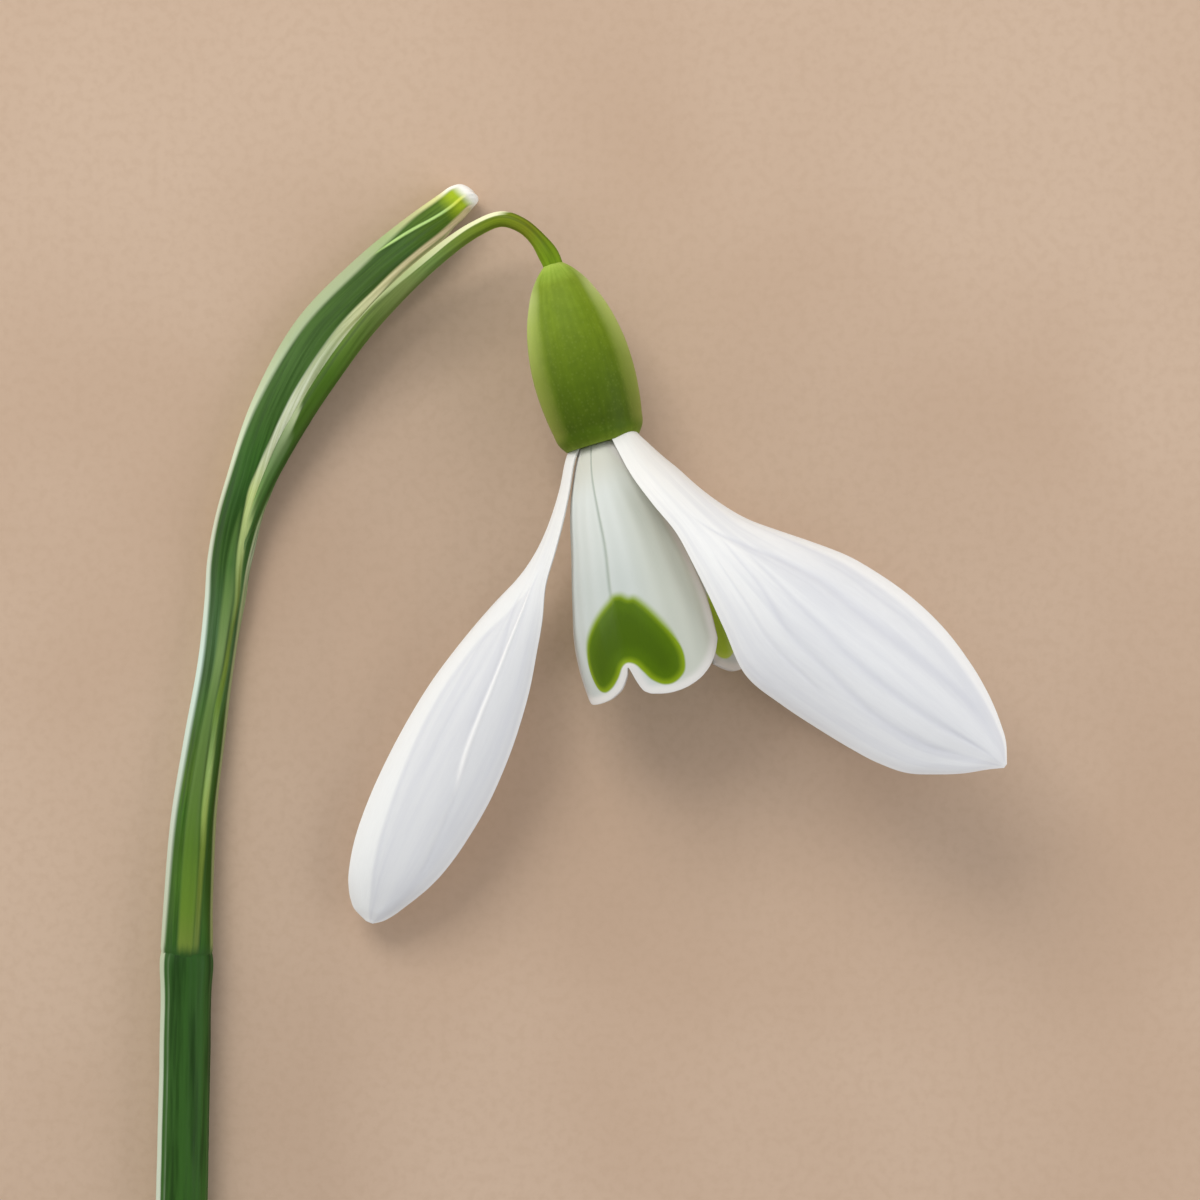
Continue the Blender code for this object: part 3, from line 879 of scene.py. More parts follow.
def stalk_tree() -> bpy.types.NodeTree:
    """Make the tree that sweeps a round or ribbed stalk along a route.

    The route's points carry the radius, the relief of the ribs and the place along the stalk. Ribs are
    raised after the sweep, so that they can fade in and out along it.

    Returns:
        The tree.
    """
    tree, given, add = new_tree(
        "stalk",
        (
            ("Sides", "NodeSocketInt", 48),
            ("Ribs", "NodeSocketFloat", 12.0),
            ("Rib Height", "NodeSocketFloat", 0.0),
            ("Unevenness", "NodeSocketFloat", 0.0),
            ("Seed", "NodeSocketFloat", 1.0),
            ("Skin", "NodeSocketMaterial", None),
        ),
    )
    line = add("GeometryNodeMeshToCurve", links={"Mesh": given["Geometry"]})
    level = add("GeometryNodeSetCurveNormal", links={"Curve": line}, mode="Z_UP")
    radius = add(Kind.VALUE, GIRTH)
    sized = add("GeometryNodeSetCurveRadius", links={"Curve": level, "Radius": radius})
    ring = add("GeometryNodeCurvePrimitiveCircle", links={"Resolution": given["Sides"], "Radius": 1.0})
    angle = add(Kind.TIMES, add("GeometryNodeSplineParameter"), 2.0 * math.pi)
    facing = add(Kind.POINT, add(Kind.COSINE, angle), add(Kind.SINE, angle))
    marked = add(
        "GeometryNodeStoreNamedAttribute",
        links={"Geometry": ring, "Name": Spot.AROUND.value, "Value": facing},
        data_type="FLOAT_VECTOR",
        domain="POINT",
    )
    sweep = {"Curve": sized, "Profile Curve": marked, "Fill Caps": True, "Scale": radius}
    swept = add("GeometryNodeCurveToMesh", links=sweep)
    parts = add(Kind.PARTS, add(Kind.DIRECTION, Spot.AROUND.value)).outputs
    ribs = add(Kind.COSINE, add(Kind.TIMES, add(Kind.TURN, parts["Y"], parts["X"]), given["Ribs"]))
    raised = add(Kind.TIMES, add(Kind.TIMES, ribs, given["Rib Height"]), add(Kind.VALUE, RELIEF))
    chance = {"W": given["Seed"], "Scale": 0.35 / MM, "Detail": 2.0}
    noise = add("ShaderNodeTexNoise", links=chance, noise_dimensions="4D")
    rough = add(Kind.TIMES, add(Kind.MINUS, noise, 0.5), given["Unevenness"])
    outwards = {0: add("GeometryNodeInputNormal"), "Scale": add(Kind.PLUS, raised, rough)}
    offset = add("ShaderNodeVectorMath", links=outwards, operation="SCALE")
    shaped = add("GeometryNodeSetPosition", links={"Geometry": swept, "Offset": offset})
    whole = add("GeometryNodeRealizeInstances", links={"Geometry": shaped})
    dressed = add("GeometryNodeSetMaterial", links={"Geometry": whole, "Material": given["Skin"]})
    add("NodeGroupOutput", links={0: dressed})
    return tree


def ring_tree() -> bpy.types.NodeTree:
    """Make the tree that sets copies of one piece in a ring, each turned outwards and leaning in.

    Returns:
        The tree.
    """
    tree, given, add = new_tree(
        "stamen_ring",
        (
            ("Count", "NodeSocketInt", 6),
            ("Ring Radius", "NodeSocketFloat", 0.001),
            ("Lean", "NodeSocketFloat", 0.0),
            ("Spread", "NodeSocketFloat", 0.0),
            ("Seed", "NodeSocketInt", 3),
            ("Thread", "NodeSocketMaterial", None),
            ("Pollen", "NodeSocketMaterial", None),
        ),
    )
    ring = add("GeometryNodeMeshCircle", links={"Vertices": given["Count"], "Radius": given["Ring Radius"]})
    parts = add(Kind.PARTS, add("GeometryNodeInputPosition")).outputs
    chance = add("FunctionNodeRandomValue", links={"Seed": given["Seed"], 2: -1.0, 3: 1.0}, data_type="FLOAT")
    lean = add(Kind.PLUS, given["Lean"], add(Kind.TIMES, chance, given["Spread"]))
    angles = add(Kind.POINT, 0.0, lean, add(Kind.TURN, parts["Y"], parts["X"]))
    placing = {"Points": ring, "Instance": given["Geometry"], "Rotation": angles}
    copies = add("GeometryNodeInstanceOnPoints", links=placing)
    whole = add("GeometryNodeRealizeInstances", links={"Geometry": copies})
    threads = add("GeometryNodeSetMaterial", links={"Geometry": whole, "Material": given["Thread"]})
    pollen = {0: add(Kind.VALUE, Spot.POLLEN.value), 1: 0.5}
    is_pollen = add("FunctionNodeCompare", links=pollen, data_type="FLOAT", operation="GREATER_THAN")
    painting = {"Geometry": threads, "Selection": is_pollen, "Material": given["Pollen"]}
    add("NodeGroupOutput", links={0: add("GeometryNodeSetMaterial", links=painting)})
    return tree


def run_tree(
    piece: bpy.types.Object, tree: bpy.types.NodeTree, inputs: dict[str, Any], name: str
) -> bpy.types.Object:
    """Give a mesh to a geometry tree and keep the result as a plain mesh.

    Args:
        piece: the object whose mesh the tree takes; it is removed.
        tree: the geometry tree.
        inputs: values for the tree's named inputs.
        name: the new object's name.

    Returns:
        The new object.
    """
    modifier = piece.modifiers.new(tree.name, "NODES")
    modifier.node_group = tree
    for socket in tree.interface.items_tree:
        if socket.item_type == "SOCKET" and socket.in_out == "INPUT" and socket.name in inputs:
            modifier[socket.identifier] = inputs[socket.name]
    depsgraph = bpy.context.evaluated_depsgraph_get()
    mesh = bpy.data.meshes.new_from_object(piece.evaluated_get(depsgraph), depsgraph=depsgraph)
    bpy.data.objects.remove(piece, do_unlink=True)
    mesh.name = name
    return add_object(name, mesh)


def seat(piece: bpy.types.Object, slot: str, *nodes: str) -> bpy.types.Object:
    """Hand a finished piece to the frame, in place of its CAD nodes.

    Args:
        piece: the finished piece, at the origin.
        slot: the record's material slot; not used.
        *nodes: the CAD nodes that it stands for.

    Returns:
        The piece.
    """
    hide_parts(*nodes)
    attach(piece, BODY)
    faces = sum(len(face.vertices) - 2 for face in piece.data.polygons)
    LOG.info("%s stands for %s, %d triangles", piece.name, ", ".join(nodes), faces)
    return piece


# ---------------------------------------------------------------------------------------------------
# Stalks


@dataclass
class Stalk:
    """A round stalk that follows a route, with ribs along it and a painted highlight along one side or both.
    """

    node: str
    slot: str
    route: Route
    girth: Table
    finish: Finish
    relief: Table = ((0.0, 1.0), (1.0, 1.0))
    ribs: float = 14.0
    rib_height: float = 0.02
    unevenness: float = 0.06
    sides: int = 64
    step: float = 0.16
    # Painted highlight: the direction its lit side faces, the facing from which it begins at each place along
    # the stalk, and how sharply it rises.
    highlight_direction: Point = (-1.0, 0.0, 0.0)
    pale_from: Table = ((0.0, 0.72), (1.0, 0.72))
    pale_edge: Table = ((0.0, 1.0), (1.0, 1.0))
    both_sides: bool = False
    pith: Finish | None = None
    seed: float = 1.0

    def line(self) -> bpy.types.Object:
        """Make the route as a line of points that carry radius, relief and place.

        Returns:
            The line's object.
        """
        rough = smooth_route(self.route, np.linspace(0.0, 1.0, 400))
        length = np.linalg.norm(np.diff(rough, axis=0), axis=1).sum()
        shares = np.linspace(0.0, 1.0, max(int(length / self.step), 24))
        centres = smooth_route(self.route, shares)
        mesh = bpy.data.meshes.new(self.node)
        mesh.from_pydata([Vector(p) for p in centres * MM], [(i, i + 1) for i in range(len(shares) - 1)], [])
        rows = {
            GIRTH: smooth_values(self.girth, shares) * MM,
            RELIEF: smooth_values(self.relief, shares),
            Spot.ALONG.value: shares * length,
            Spot.ACROSS.value: shares,
        }
        for name, values in rows.items():
            store(mesh, name, values)
        return add_object(self.node, mesh)

    def mark_lit_side(self, piece: bpy.types.Object) -> None:
        """Store how far each point faces the stalk's lit side, 0 where the painted highlight begins.

        Args:
            piece: the swept stalk.
        """
        mesh = piece.data
        mesh.update()
        normals = np.array([vertex.normal for vertex in mesh.vertices], float)
        shares = np.zeros(len(mesh.vertices), np.float32)
        mesh.attributes[Spot.ACROSS.value].data.foreach_get("value", shares)
        facing = normals @ (np.array(self.highlight_direction) / np.linalg.norm(self.highlight_direction))
        facing = np.abs(facing) if self.both_sides else facing
        pale = (facing - smooth_values(self.pale_from, shares)) * smooth_values(self.pale_edge, shares)
        store(mesh, Spot.PALE_SIDE.value, pale)

    def build(self, tree: bpy.types.NodeTree) -> bpy.types.Object:
        """Sweep the stalk, dress it and hand it to the frame.

        Args:
            tree: the tree that sweeps a stalk.

        Returns:
            The finished piece.
        """
        inputs = {
            "Sides": self.sides,
            "Ribs": self.ribs,
            "Rib Height": self.rib_height * MM,
            "Unevenness": self.unevenness * MM,
            "Seed": self.seed,
            "Skin": self.finish.build(),
        }
        piece = run_tree(self.line(), tree, inputs, f"{self.node}_piece")
        tidy_mesh(piece)
        self.mark_lit_side(piece)
        if self.pith:
            piece.data.materials.append(self.pith.build())
            ends = [face for face in piece.data.polygons if len(face.vertices) > 4]
            min(ends, key=lambda face: face.center.y).material_index = 1
        return seat(piece, self.slot, self.node)


@dataclass
class Greenery:
    """The green stalk pieces: cut stalk, flower stalk and ovary."""

    scape_route: Route = (
        (-20.65, -29.10, 1.42), (-20.55, -23.6, 1.42), (-20.43, -18.3, 1.42), (-20.31, -11.25, 1.42),
    )
    scape_girth: Table = (
        (0.0, 1.36), (0.70, 1.33), (0.88, 1.34), (0.94, 1.40), (0.965, 1.38), (0.985, 1.30), (1.0, 1.15),
    )
    pedicel_route: Route = (
        (-20.28, -11.50, 1.40), (-20.05, -6.0, 1.33), (-19.42, -0.4, 1.25), (-18.86, 3.8, 1.22),
        (-18.32, 7.0, 1.30), (-17.48, 9.9, 1.45), (-16.06, 13.3, 1.70), (-13.55, 17.55, 2.20),
        (-10.48, 21.65, 2.85), (-7.20, 24.75, 3.55), (-4.95, 26.30, 4.05), (-3.60, 26.78, 4.30),
        (-2.56, 26.44, 4.45), (-1.75, 25.73, 4.50), (-1.12, 24.82, 4.50), (-0.86, 24.20, 4.50),
    )
    pedicel_girth: Table = (
        (0.0, 0.55), (0.18, 0.52), (0.36, 0.42), (0.46, 0.44), (0.60, 0.50), (0.76, 0.53), (0.84, 0.46),
        (0.92, 0.40), (0.965, 0.42), (0.983, 0.52), (1.0, 0.50),
    )
    ovary_outline: Table = (
        (0.0, 0.46), (0.03, 0.80), (0.10, 1.36), (0.21, 1.90), (0.32, 2.28), (0.43, 2.52), (0.55, 2.65),
        (0.66, 2.66), (0.77, 2.58), (0.885, 2.42), (0.96, 2.26), (1.0, 2.00),
    )

    def scape(self) -> Stalk:
        """The cut stalk below the sheath.

        Returns:
            The stalk with its sizes and its skin.
        """
        shades = ((0.0, "#376120"), (0.5, "#355d22"), (0.9, "#325a21"), (0.97, "#2f5720"), (1.0, "#2f5620"))
        # Painted highlight along the stalk's lit side.
        pale = ((0.0, "#cfdac8"), (0.6, "#c9d6c0"), (0.93, "#bcc8ac"), (1.0, "#b9c4a6"))
        return Stalk(
            node="scape",
            slot="scape_skin",
            route=self.scape_route,
            girth=self.scape_girth,
            finish=StalkSkin(
                "live_stalk_skin",
                roughness=0.5,
                ior=WAX_IOR,
                scatter=0.05,
                shades=shades,
                pale=pale,
                contrast="#abb69b",
            ),
            ribs=18.0,
            rib_height=0.022,
            pith=PithSkin("cut_pith", roughness=0.35, centre=self.scape_route[0]),
        )

    def pedicel(self) -> Stalk:
        """The flower stalk that arches over.

        Returns:
            The stalk with its sizes and its skin.
        """
        shades = (
            (0.0, "#86a468"), (0.44, "#7f9c62"), (0.47, "#3f6628"), (0.50, "#3f6426"), (0.55, "#3c5f20"),
            (0.60, "#42601a"), (0.66, "#4a6c1c"), (0.70, "#5c7a2c"), (0.75, "#6d8140"), (0.79, "#7a8a4c"),
            (0.83, "#74904a"), (0.87, "#7a9036"), (0.91, "#7e921f"), (0.95, "#7a831d"), (0.975, "#76901a"),
            (1.0, "#7a9a18"),
        )
        # Painted highlight on the lit side; beside the sheath's middle these tones also paint its membrane
        # onto the stalk.
        pale = (
            (0.0, "#b7c49a"), (0.44, "#a4b874"), (0.47, "#b0c47c"), (0.488, "#a4bc78"), (0.507, "#7a9c58"),
            (0.527, "#6c8c50"), (0.546, "#6c8853"), (0.565, "#74895a"), (0.583, "#879a6c"),
            (0.601, "#a3b186"), (0.64, "#a8b58c"), (0.80, "#aab981"), (0.86, "#dbdfae"), (0.90, "#f7fbcc"),
            (0.93, "#faffd2"), (0.96, "#dfeba6"), (1.0, "#cdd690"),
        )
        return Stalk(
            node="pedicel",
            slot="pedicel_skin",
            route=self.pedicel_route,
            girth=self.pedicel_girth,
            finish=StalkSkin(
                "live_flower_stalk_skin",
                roughness=0.46,
                ior=WAX_IOR,
                scatter=0.08,
                shades=shades,
                pale=pale,
                contrast="#c3cab6",
                band_mm=0.7,
            ),
            ribs=7.0,
            rib_height=0.012,
            unevenness=0.04,
            sides=40,
            highlight_direction=(-0.66, 0.74, 0.10),
            pale_from=(
                (0.0, 1.4), (0.42, 1.2), (0.45, -0.10), (0.47, -0.25), (0.49, -0.12), (0.527, -0.12),
                (0.546, -0.18), (0.565, -0.20), (0.583, -0.03), (0.601, 0.36), (0.619, 0.76), (0.64, 0.94),
                (0.70, 0.92), (0.78, 0.62), (0.83, 0.30), (0.86, 0.48), (0.89, 0.62), (0.92, 0.60),
                (0.95, 0.74), (0.975, 0.90), (1.0, 0.95),
            ),
            pale_edge=(
                (0.0, 1.0), (0.44, 1.0), (0.50, 0.5), (0.53, 0.35), (0.58, 0.35), (0.64, 0.9), (0.70, 1.0),
                (1.0, 1.0),
            ),
            seed=2.0,
        )

    def ovary(self) -> Stalk:
        """The ovary, swept along the flower axis with its own outline as girth.

        Returns:
            The ovary with its sizes and its skin.
        """
        shades = (
            (0.0, "#b4cc5c"), (0.05, "#9ab545"), (0.12, "#82992a"), (0.28, "#778f1f"), (0.42, "#6f861a"),
            (0.55, "#637a14"), (0.68, "#597010"), (0.80, "#50660c"), (0.90, "#495e0a"), (0.95, "#50680e"),
            (0.98, "#627818"), (1.0, "#74882a"),
        )
        # Painted highlight down both flanks.
        pale = ((0.0, "#dfe9a6"), (0.3, "#bccc70"), (0.6, "#98a64c"), (0.9, "#8c9440"), (1.0, "#6c7c26"))
        top, rim = np.array(OVARY_TOP), np.array(OVARY_RIM)
        aside = np.array([-0.058, -0.016, 0.0])
        route = tuple(tuple(top + (rim - top) * share + aside) for share in (0.0, 0.33, 0.67, 1.0))
        return Stalk(
            node="ovary",
            slot="ovary_skin",
            route=route,
            girth=tuple((place, radius * 0.975) for place, radius in self.ovary_outline),
            finish=OvarySkin(
                "live_ovary_skin", roughness=0.52, ior=WAX_IOR, scatter=0.10, shades=shades, pale=pale
            ),
            relief=((0.0, 0.0), (0.15, 0.8), (0.5, 1.0), (0.9, 0.9), (1.0, 0.3)),
            ribs=6.0,
            rib_height=0.030,
            unevenness=0.06,
            sides=96,
            step=0.09,
            highlight_direction=(0.9627, 0.2707, 0.0),
            pale_from=((0.0, 0.86), (0.15, 0.82), (0.5, 0.86), (1.0, 0.90)),
            both_sides=True,
            seed=3.0,
        )

    def build(self, tree: bpy.types.NodeTree) -> None:
        """Build the three pieces."""
        for stalk in (self.scape(), self.pedicel(), self.ovary()):
            stalk.build(tree)


# ---------------------------------------------------------------------------------------------------
# Sheath


@dataclass
class Sheath:
    """The sheath: a closed tube at its foot that opens into a channel and ends in a hooded tip.

    Places across it are millimetres from the keel's outline, as seen from above.
    """

    keel: Outline = (
        (-21.70, -11.98), (-21.50, -8.8), (-21.16, -4.6), (-20.50, -0.4), (-19.76, 3.8), (-19.43, 6.9),
        (-19.28, 9.1), (-18.90, 11.2), (-18.32, 13.3), (-16.92, 17.5), (-14.55, 21.8), (-11.45, 25.0),
        (-8.75, 27.2), (-6.95, 28.46), (-6.43, 28.83), (-5.885, 28.97), (-5.50, 28.83), (-5.25, 28.66),
    )
    depth: Table = (
        (0.0, 2.78), (0.02, 2.74), (0.06, 2.62), (0.15, 2.42), (0.25, 2.16), (0.34, 1.94), (0.38, 2.00),
        (0.43, 2.18), (0.47, 2.32), (0.51, 2.34), (0.55, 2.38), (0.63, 2.60), (0.72, 2.70), (0.80, 2.50),
        (0.88, 2.16), (0.92, 2.06), (0.935, 1.94), (0.95, 1.74), (0.966, 1.62), (0.9733, 1.56), (0.985, 1.30),
        (0.9937, 0.86), (1.0, 0.34),
    )
    # Width of the upper side, whose lip is the membrane that lies against the flower stalk.
    lip_depth: Table = depth[:8] + (
        (0.47, 2.34), (0.51, 2.44), (0.55, 2.62), (0.59, 2.82), (0.63, 2.82), (0.68, 2.80), (0.73, 2.82),
        (0.78, 2.76), (0.82, 2.64), (0.86, 2.60), (0.89, 2.48), (0.92, 2.32), (0.935, 2.18), (0.95, 1.98),
        (0.966, 1.80), (0.9733, 1.68), (0.985, 1.34), (0.9937, 0.86), (1.0, 0.34),
    )
    height: Table = (
        (0.0, 2.84), (0.15, 2.6), (0.28, 2.4), (0.43, 2.5), (0.55, 2.9), (0.72, 3.0), (0.86, 2.6),
        (0.94, 2.15), (0.966, 2.0), (0.98, 1.7), (0.9937, 1.05), (1.0, 0.4),
    )
    # How far the rounded tip is lifted, so that it closes at half its height.
    lift: Table = ((0.0, 0.0), (0.955, 0.0), (0.975, 0.10), (0.99, 0.40), (1.0, 0.72))
    # Half the turn that the wall makes round the sheath, in degrees: of its lower and of its upper side.
    half_opening: Table = (
        (0.0, 180.0), (0.32, 180.0), (0.36, 180.0), (0.40, 158.0), (0.44, 138.0), (0.49, 116.0),
        (0.56, 106.0), (0.78, 104.0), (0.90, 112.0), (0.95, 140.0), (0.98, 168.0), (1.0, 174.0),
    )
    lip_opening: Table = (
        (0.0, 180.0), (0.32, 180.0), (0.36, 180.0), (0.40, 160.0), (0.45, 150.0), (0.49, 150.0),
        (0.55, 158.0), (0.60, 148.0), (0.63, 138.0), (0.66, 129.0), (0.70, 122.0), (0.74, 116.0),
        (0.79, 109.0), (0.84, 110.0), (0.90, 118.0), (0.95, 140.0), (0.98, 168.0), (1.0, 174.0),
    )
    # The pale keel's width, the keel partly a painted rim highlight, and the middle of the ridge beside it.
    keel_width: Table = (
        (0.0, 0.22), (0.05, 0.27), (0.17, 0.31), (0.29, 0.32), (0.41, 0.28), (0.50, 0.20), (0.58, 0.26),
        (0.65, 0.42), (0.73, 0.60), (0.80, 0.64), (0.86, 0.56), (0.89, 0.43), (0.905, 0.34), (0.92, 0.27),
        (0.95, 0.24), (1.0, 0.2),
    )
    ridge: Table = (
        (0.0, 0.3), (0.80, 0.50), (0.84, 0.54), (0.867, 0.60), (0.883, 0.67), (0.90, 0.75), (0.917, 0.85),
        (0.934, 0.95), (0.95, 1.00), (0.97, 0.95), (1.0, 0.5),
    )
    # The bright stripe, partly pale membrane and partly painted highlight of the flower stalk beneath,
    # which runs on as the membrane of the open part: its middle and half its width.
    stripe: Table = (
        (0.0, 2.02), (0.05, 2.00), (0.09, 1.97), (0.13, 1.96), (0.17, 1.85), (0.21, 1.76), (0.25, 1.66),
        (0.29, 1.56), (0.33, 1.60), (0.37, 1.66), (0.41, 1.82), (0.45, 1.83), (0.475, 1.81), (0.497, 1.80),
        (0.52, 1.84), (0.543, 1.80), (0.567, 1.82), (0.59, 1.91), (0.614, 2.06), (0.637, 2.22), (0.66, 2.34),
        (0.70, 2.42), (0.74, 2.45), (0.777, 2.38), (0.80, 2.27), (0.833, 2.17), (0.867, 2.05), (0.90, 1.98),
        (0.934, 1.90), (0.95, 1.80), (0.966, 1.68), (0.98, 1.55), (1.0, 1.0),
    )
    stripe_half: Table = (
        (0.0, 0.15), (0.05, 0.13), (0.13, 0.14), (0.20, 0.17), (0.29, 0.15), (0.36, 0.10), (0.42, 0.14),
        (0.45, 0.17), (0.475, 0.20), (0.497, 0.22), (0.52, 0.32), (0.543, 0.35), (0.567, 0.25), (0.60, 0.21),
        (0.637, 0.34), (0.66, 0.42), (0.70, 0.38), (0.74, 0.35), (0.777, 0.33), (0.80, 0.26), (0.833, 0.20),
        (0.867, 0.17), (0.90, 0.16), (0.934, 0.14), (0.95, 0.14), (0.966, 0.18), (0.978, 0.16), (0.99, -0.3),
        (1.0, -0.3),
    )
    # The lighter band of the wall and half its width, and where the painted shade on the far side of the wall
    # begins.
    vein: Table = (
        (0.0, 1.44), (0.10, 1.40), (0.20, 1.22), (0.27, 1.15), (0.33, 1.19), (0.38, 1.26), (0.44, 1.40),
        (0.50, 1.36), (1.0, 1.4),
    )
    vein_half: Table = (
        (0.0, 0.44), (0.10, 0.44), (0.20, 0.34), (0.28, 0.25), (0.35, 0.24), (0.42, 0.30), (0.47, 0.22),
        (0.52, 0.0), (0.56, -0.3), (1.0, -0.3),
    )
    shade: Table = (
        (0.0, 2.9), (0.06, 2.35), (0.10, 2.12), (0.18, 1.98), (0.25, 1.86), (0.29, 1.88), (0.33, 2.3),
        (0.5, 3.0), (1.0, 3.0),
    )
    wall: float = 0.24
    margin_wall: float = 0.08
    length: float = SHEATH_LENGTH
    # How deep the ribbed face lies in the wall, how far the foot closes on the stalk below and how high
    # that stalk's middle is, and how far the inner face stays above the surface.
    set_back: float = 0.03
    foot_closing: float = 0.10
    scape_height: float = 1.42
    clearance: float = 0.02
    tip_inward: Point = (0.69, -0.73, 0.0)
    rows: int = 360
    columns: int = 97

    def build(self) -> bpy.types.Object:
        """Build the sheath, dress it and hand it to the frame.

        Returns:
            The finished piece.
        """
        shares = np.linspace(0.0, 1.0, self.rows)
        keel = smooth_route([(x, y, 0.0) for x, y in self.keel], shares)
        tangent = unit(np.gradient(keel, axis=0))
        inward = np.stack([tangent[:, 1], -tangent[:, 0], np.zeros(self.rows)], axis=1)
        # The tip's rows stay parallel while the outline rounds off.
        turned = ease(0.950, 0.972, shares)[:, None]
        inward = unit(inward * (1.0 - turned) + np.array(self.tip_inward) * turned)
        height, lift = (smooth_values(table, shares) for table in (self.height, self.lift))
        below, above = (
            np.radians(np.minimum(smooth_values(table, shares), 180.0))[:, None]
            for table in (self.half_opening, self.lip_opening)
        )
        closed = int(np.argmin(below[:, 0] > math.pi - 1e-6))
        side = np.linspace(-1.0, 1.0, self.columns)[None, :]
        reach = np.where(side > 0.0, above, below)
        lower, upper = (smooth_values(table, shares)[:, None] for table in (self.depth, self.lip_depth))
        width = np.where(side > 0.0, upper, lower)
        angle = side * reach
        place = width * (1.0 - np.cos(angle)) / (1.0 - np.cos(reach))
        grid = keel[:, None, :] + inward[:, None, :] * place[..., None]
        grid[..., 2] = (lift + 0.5 * height * (1.0 + np.sin(angle).T)).T
        centre = (keel + inward * (0.5 * width[:, :1]))[:, None, :] + (0.0, 0.0, self.scape_height)
        grid += (centre - grid) * (self.foot_closing * ease(0.015, 0.0, shares))[:, None, None]
        values = self.values(shares, place, width, angle)
        normals = grid_normals(grid)
        outer = grid + normals * (self.relief(shares, place, values) - self.set_back)[..., None]
        outer[..., 2] = np.maximum(outer[..., 2], 0.0)
        thin = ease(0.35, 1.0, np.abs(side)) * ease(0.40, 0.50, shares)[:, None]
        thin = np.maximum(thin, ease(0.025, 0.0, shares)[:, None])
        wall = self.wall + (self.margin_wall - self.wall) * thin
        inner = outer - normals * wall[..., None]
        inner[..., 2] = np.maximum(inner[..., 2], self.clearance)
        piece = Shell("spathe_piece", outer, inner, values, closed).build()
        skin = SheathSkin("live_sheath_skin", roughness=0.5, ior=WAX_IOR, scatter=0.05)
        piece.data.materials.append(skin.build())
        return seat(piece, "spathe_skin", "spathe")

    def values(
        self, shares: np.ndarray, place: np.ndarray, width: np.ndarray, angle: np.ndarray
    ) -> dict[Spot, np.ndarray]:
        """Work out where the keel line, the stripes and the papery membrane lie.

        Args:
            shares: the rows' places along the keel.
            place: millimetres of each point from the keel's outline, as seen from above.
            width: how far its surface reaches from the keel's outline, in millimetres.
            angle: place of each point round the sheath, 0 at the keel.

        Returns:
            The values by name: distances in millimetres, positive inside each area.
        """
        keel, ridge, stripe, stripe_half, vein, vein_half, shade = (
            smooth_values(line, shares)[:, None]
            for line in (
                self.keel_width,
                self.ridge,
                self.stripe,
                self.stripe_half,
                self.vein,
                self.vein_half,
                self.shade,
            )
        )
        return {
            Spot.ALONG: np.broadcast_to((shares * self.length)[:, None], place.shape),
            Spot.ACROSS: place * np.where(angle < 0.0, -1.0, 1.0),
            Spot.STRIPE: stripe_half - np.abs(place - stripe),
            Spot.VEIN: vein_half - np.abs(place - vein),
            Spot.MEMBRANE: place - (stripe + stripe_half),
            Spot.SHADE: place - shade,
            Spot.KEEL: keel - place,
            Spot.RIDGE: 0.13 * ease(0.83, 0.89, shares)[:, None] - 0.03 - np.abs(place - ridge),
            Spot.MARGIN: np.minimum(width - place, 1.0),
        }

    def relief(self, shares: np.ndarray, place: np.ndarray, values: dict[Spot, np.ndarray]) -> np.ndarray:
        """Raise the keel, its ridge and the ribs, and sink a fold on each side of the stripe.

        Args:
            shares: the rows' places along the keel.
            place: millimetres of each point from the keel's outline.
            values: distances to the sheath's lines, by name.

        Returns:
            How far each point is raised, in millimetres.
        """
        keel = 0.04 * ease(-0.12, 0.10, values[Spot.KEEL]) + 0.05 * ease(-0.10, 0.05, values[Spot.RIDGE])
        fold = -0.05 * np.exp(-((values[Spot.STRIPE] / 0.08) ** 2)) * ease(0.56, 0.46, shares)[:, None]
        swell = 0.04 * ease(-0.1, 0.25, values[Spot.VEIN])
        ribs = 0.010 * np.cos(place * 18.0) * ease(0.0, 0.02, shares)[:, None]
        return keel + fold + swell + ribs


# ---------------------------------------------------------------------------------------------------
# Tepals


@dataclass(frozen=True)
class Vein:
    """One line along a blade: its route as places along and across, its half widths and its depth."""

    route: Table
    width: tuple[float, float]
    depth: float = 1.0

    def draw(self, shares: np.ndarray, side: np.ndarray) -> np.ndarray:
        """Draw the line: its depth on the middle, fading to both sides and at its ends.

        Args:
            shares: the rows' places along the blade, 0 to 1.
            side: the places across it, -1 to 1.

        Returns:
            The depth at each point.
        """
        start, end = self.route[0][0], self.route[-1][0]
        place = smooth_values(self.route, np.clip(shares, start, end))[:, None]
        run = np.clip((shares - start) / (end - start), 0.0, 1.0)[:, None]
        width = self.width[0] + (self.width[1] - self.width[0]) * run
        fade = ease(start - 0.02, start + 0.06, shares) * ease(end + 0.02, end - 0.06, shares)
        return self.depth * np.exp(-(((side - place) / width) ** 2)) * fade[:, None]


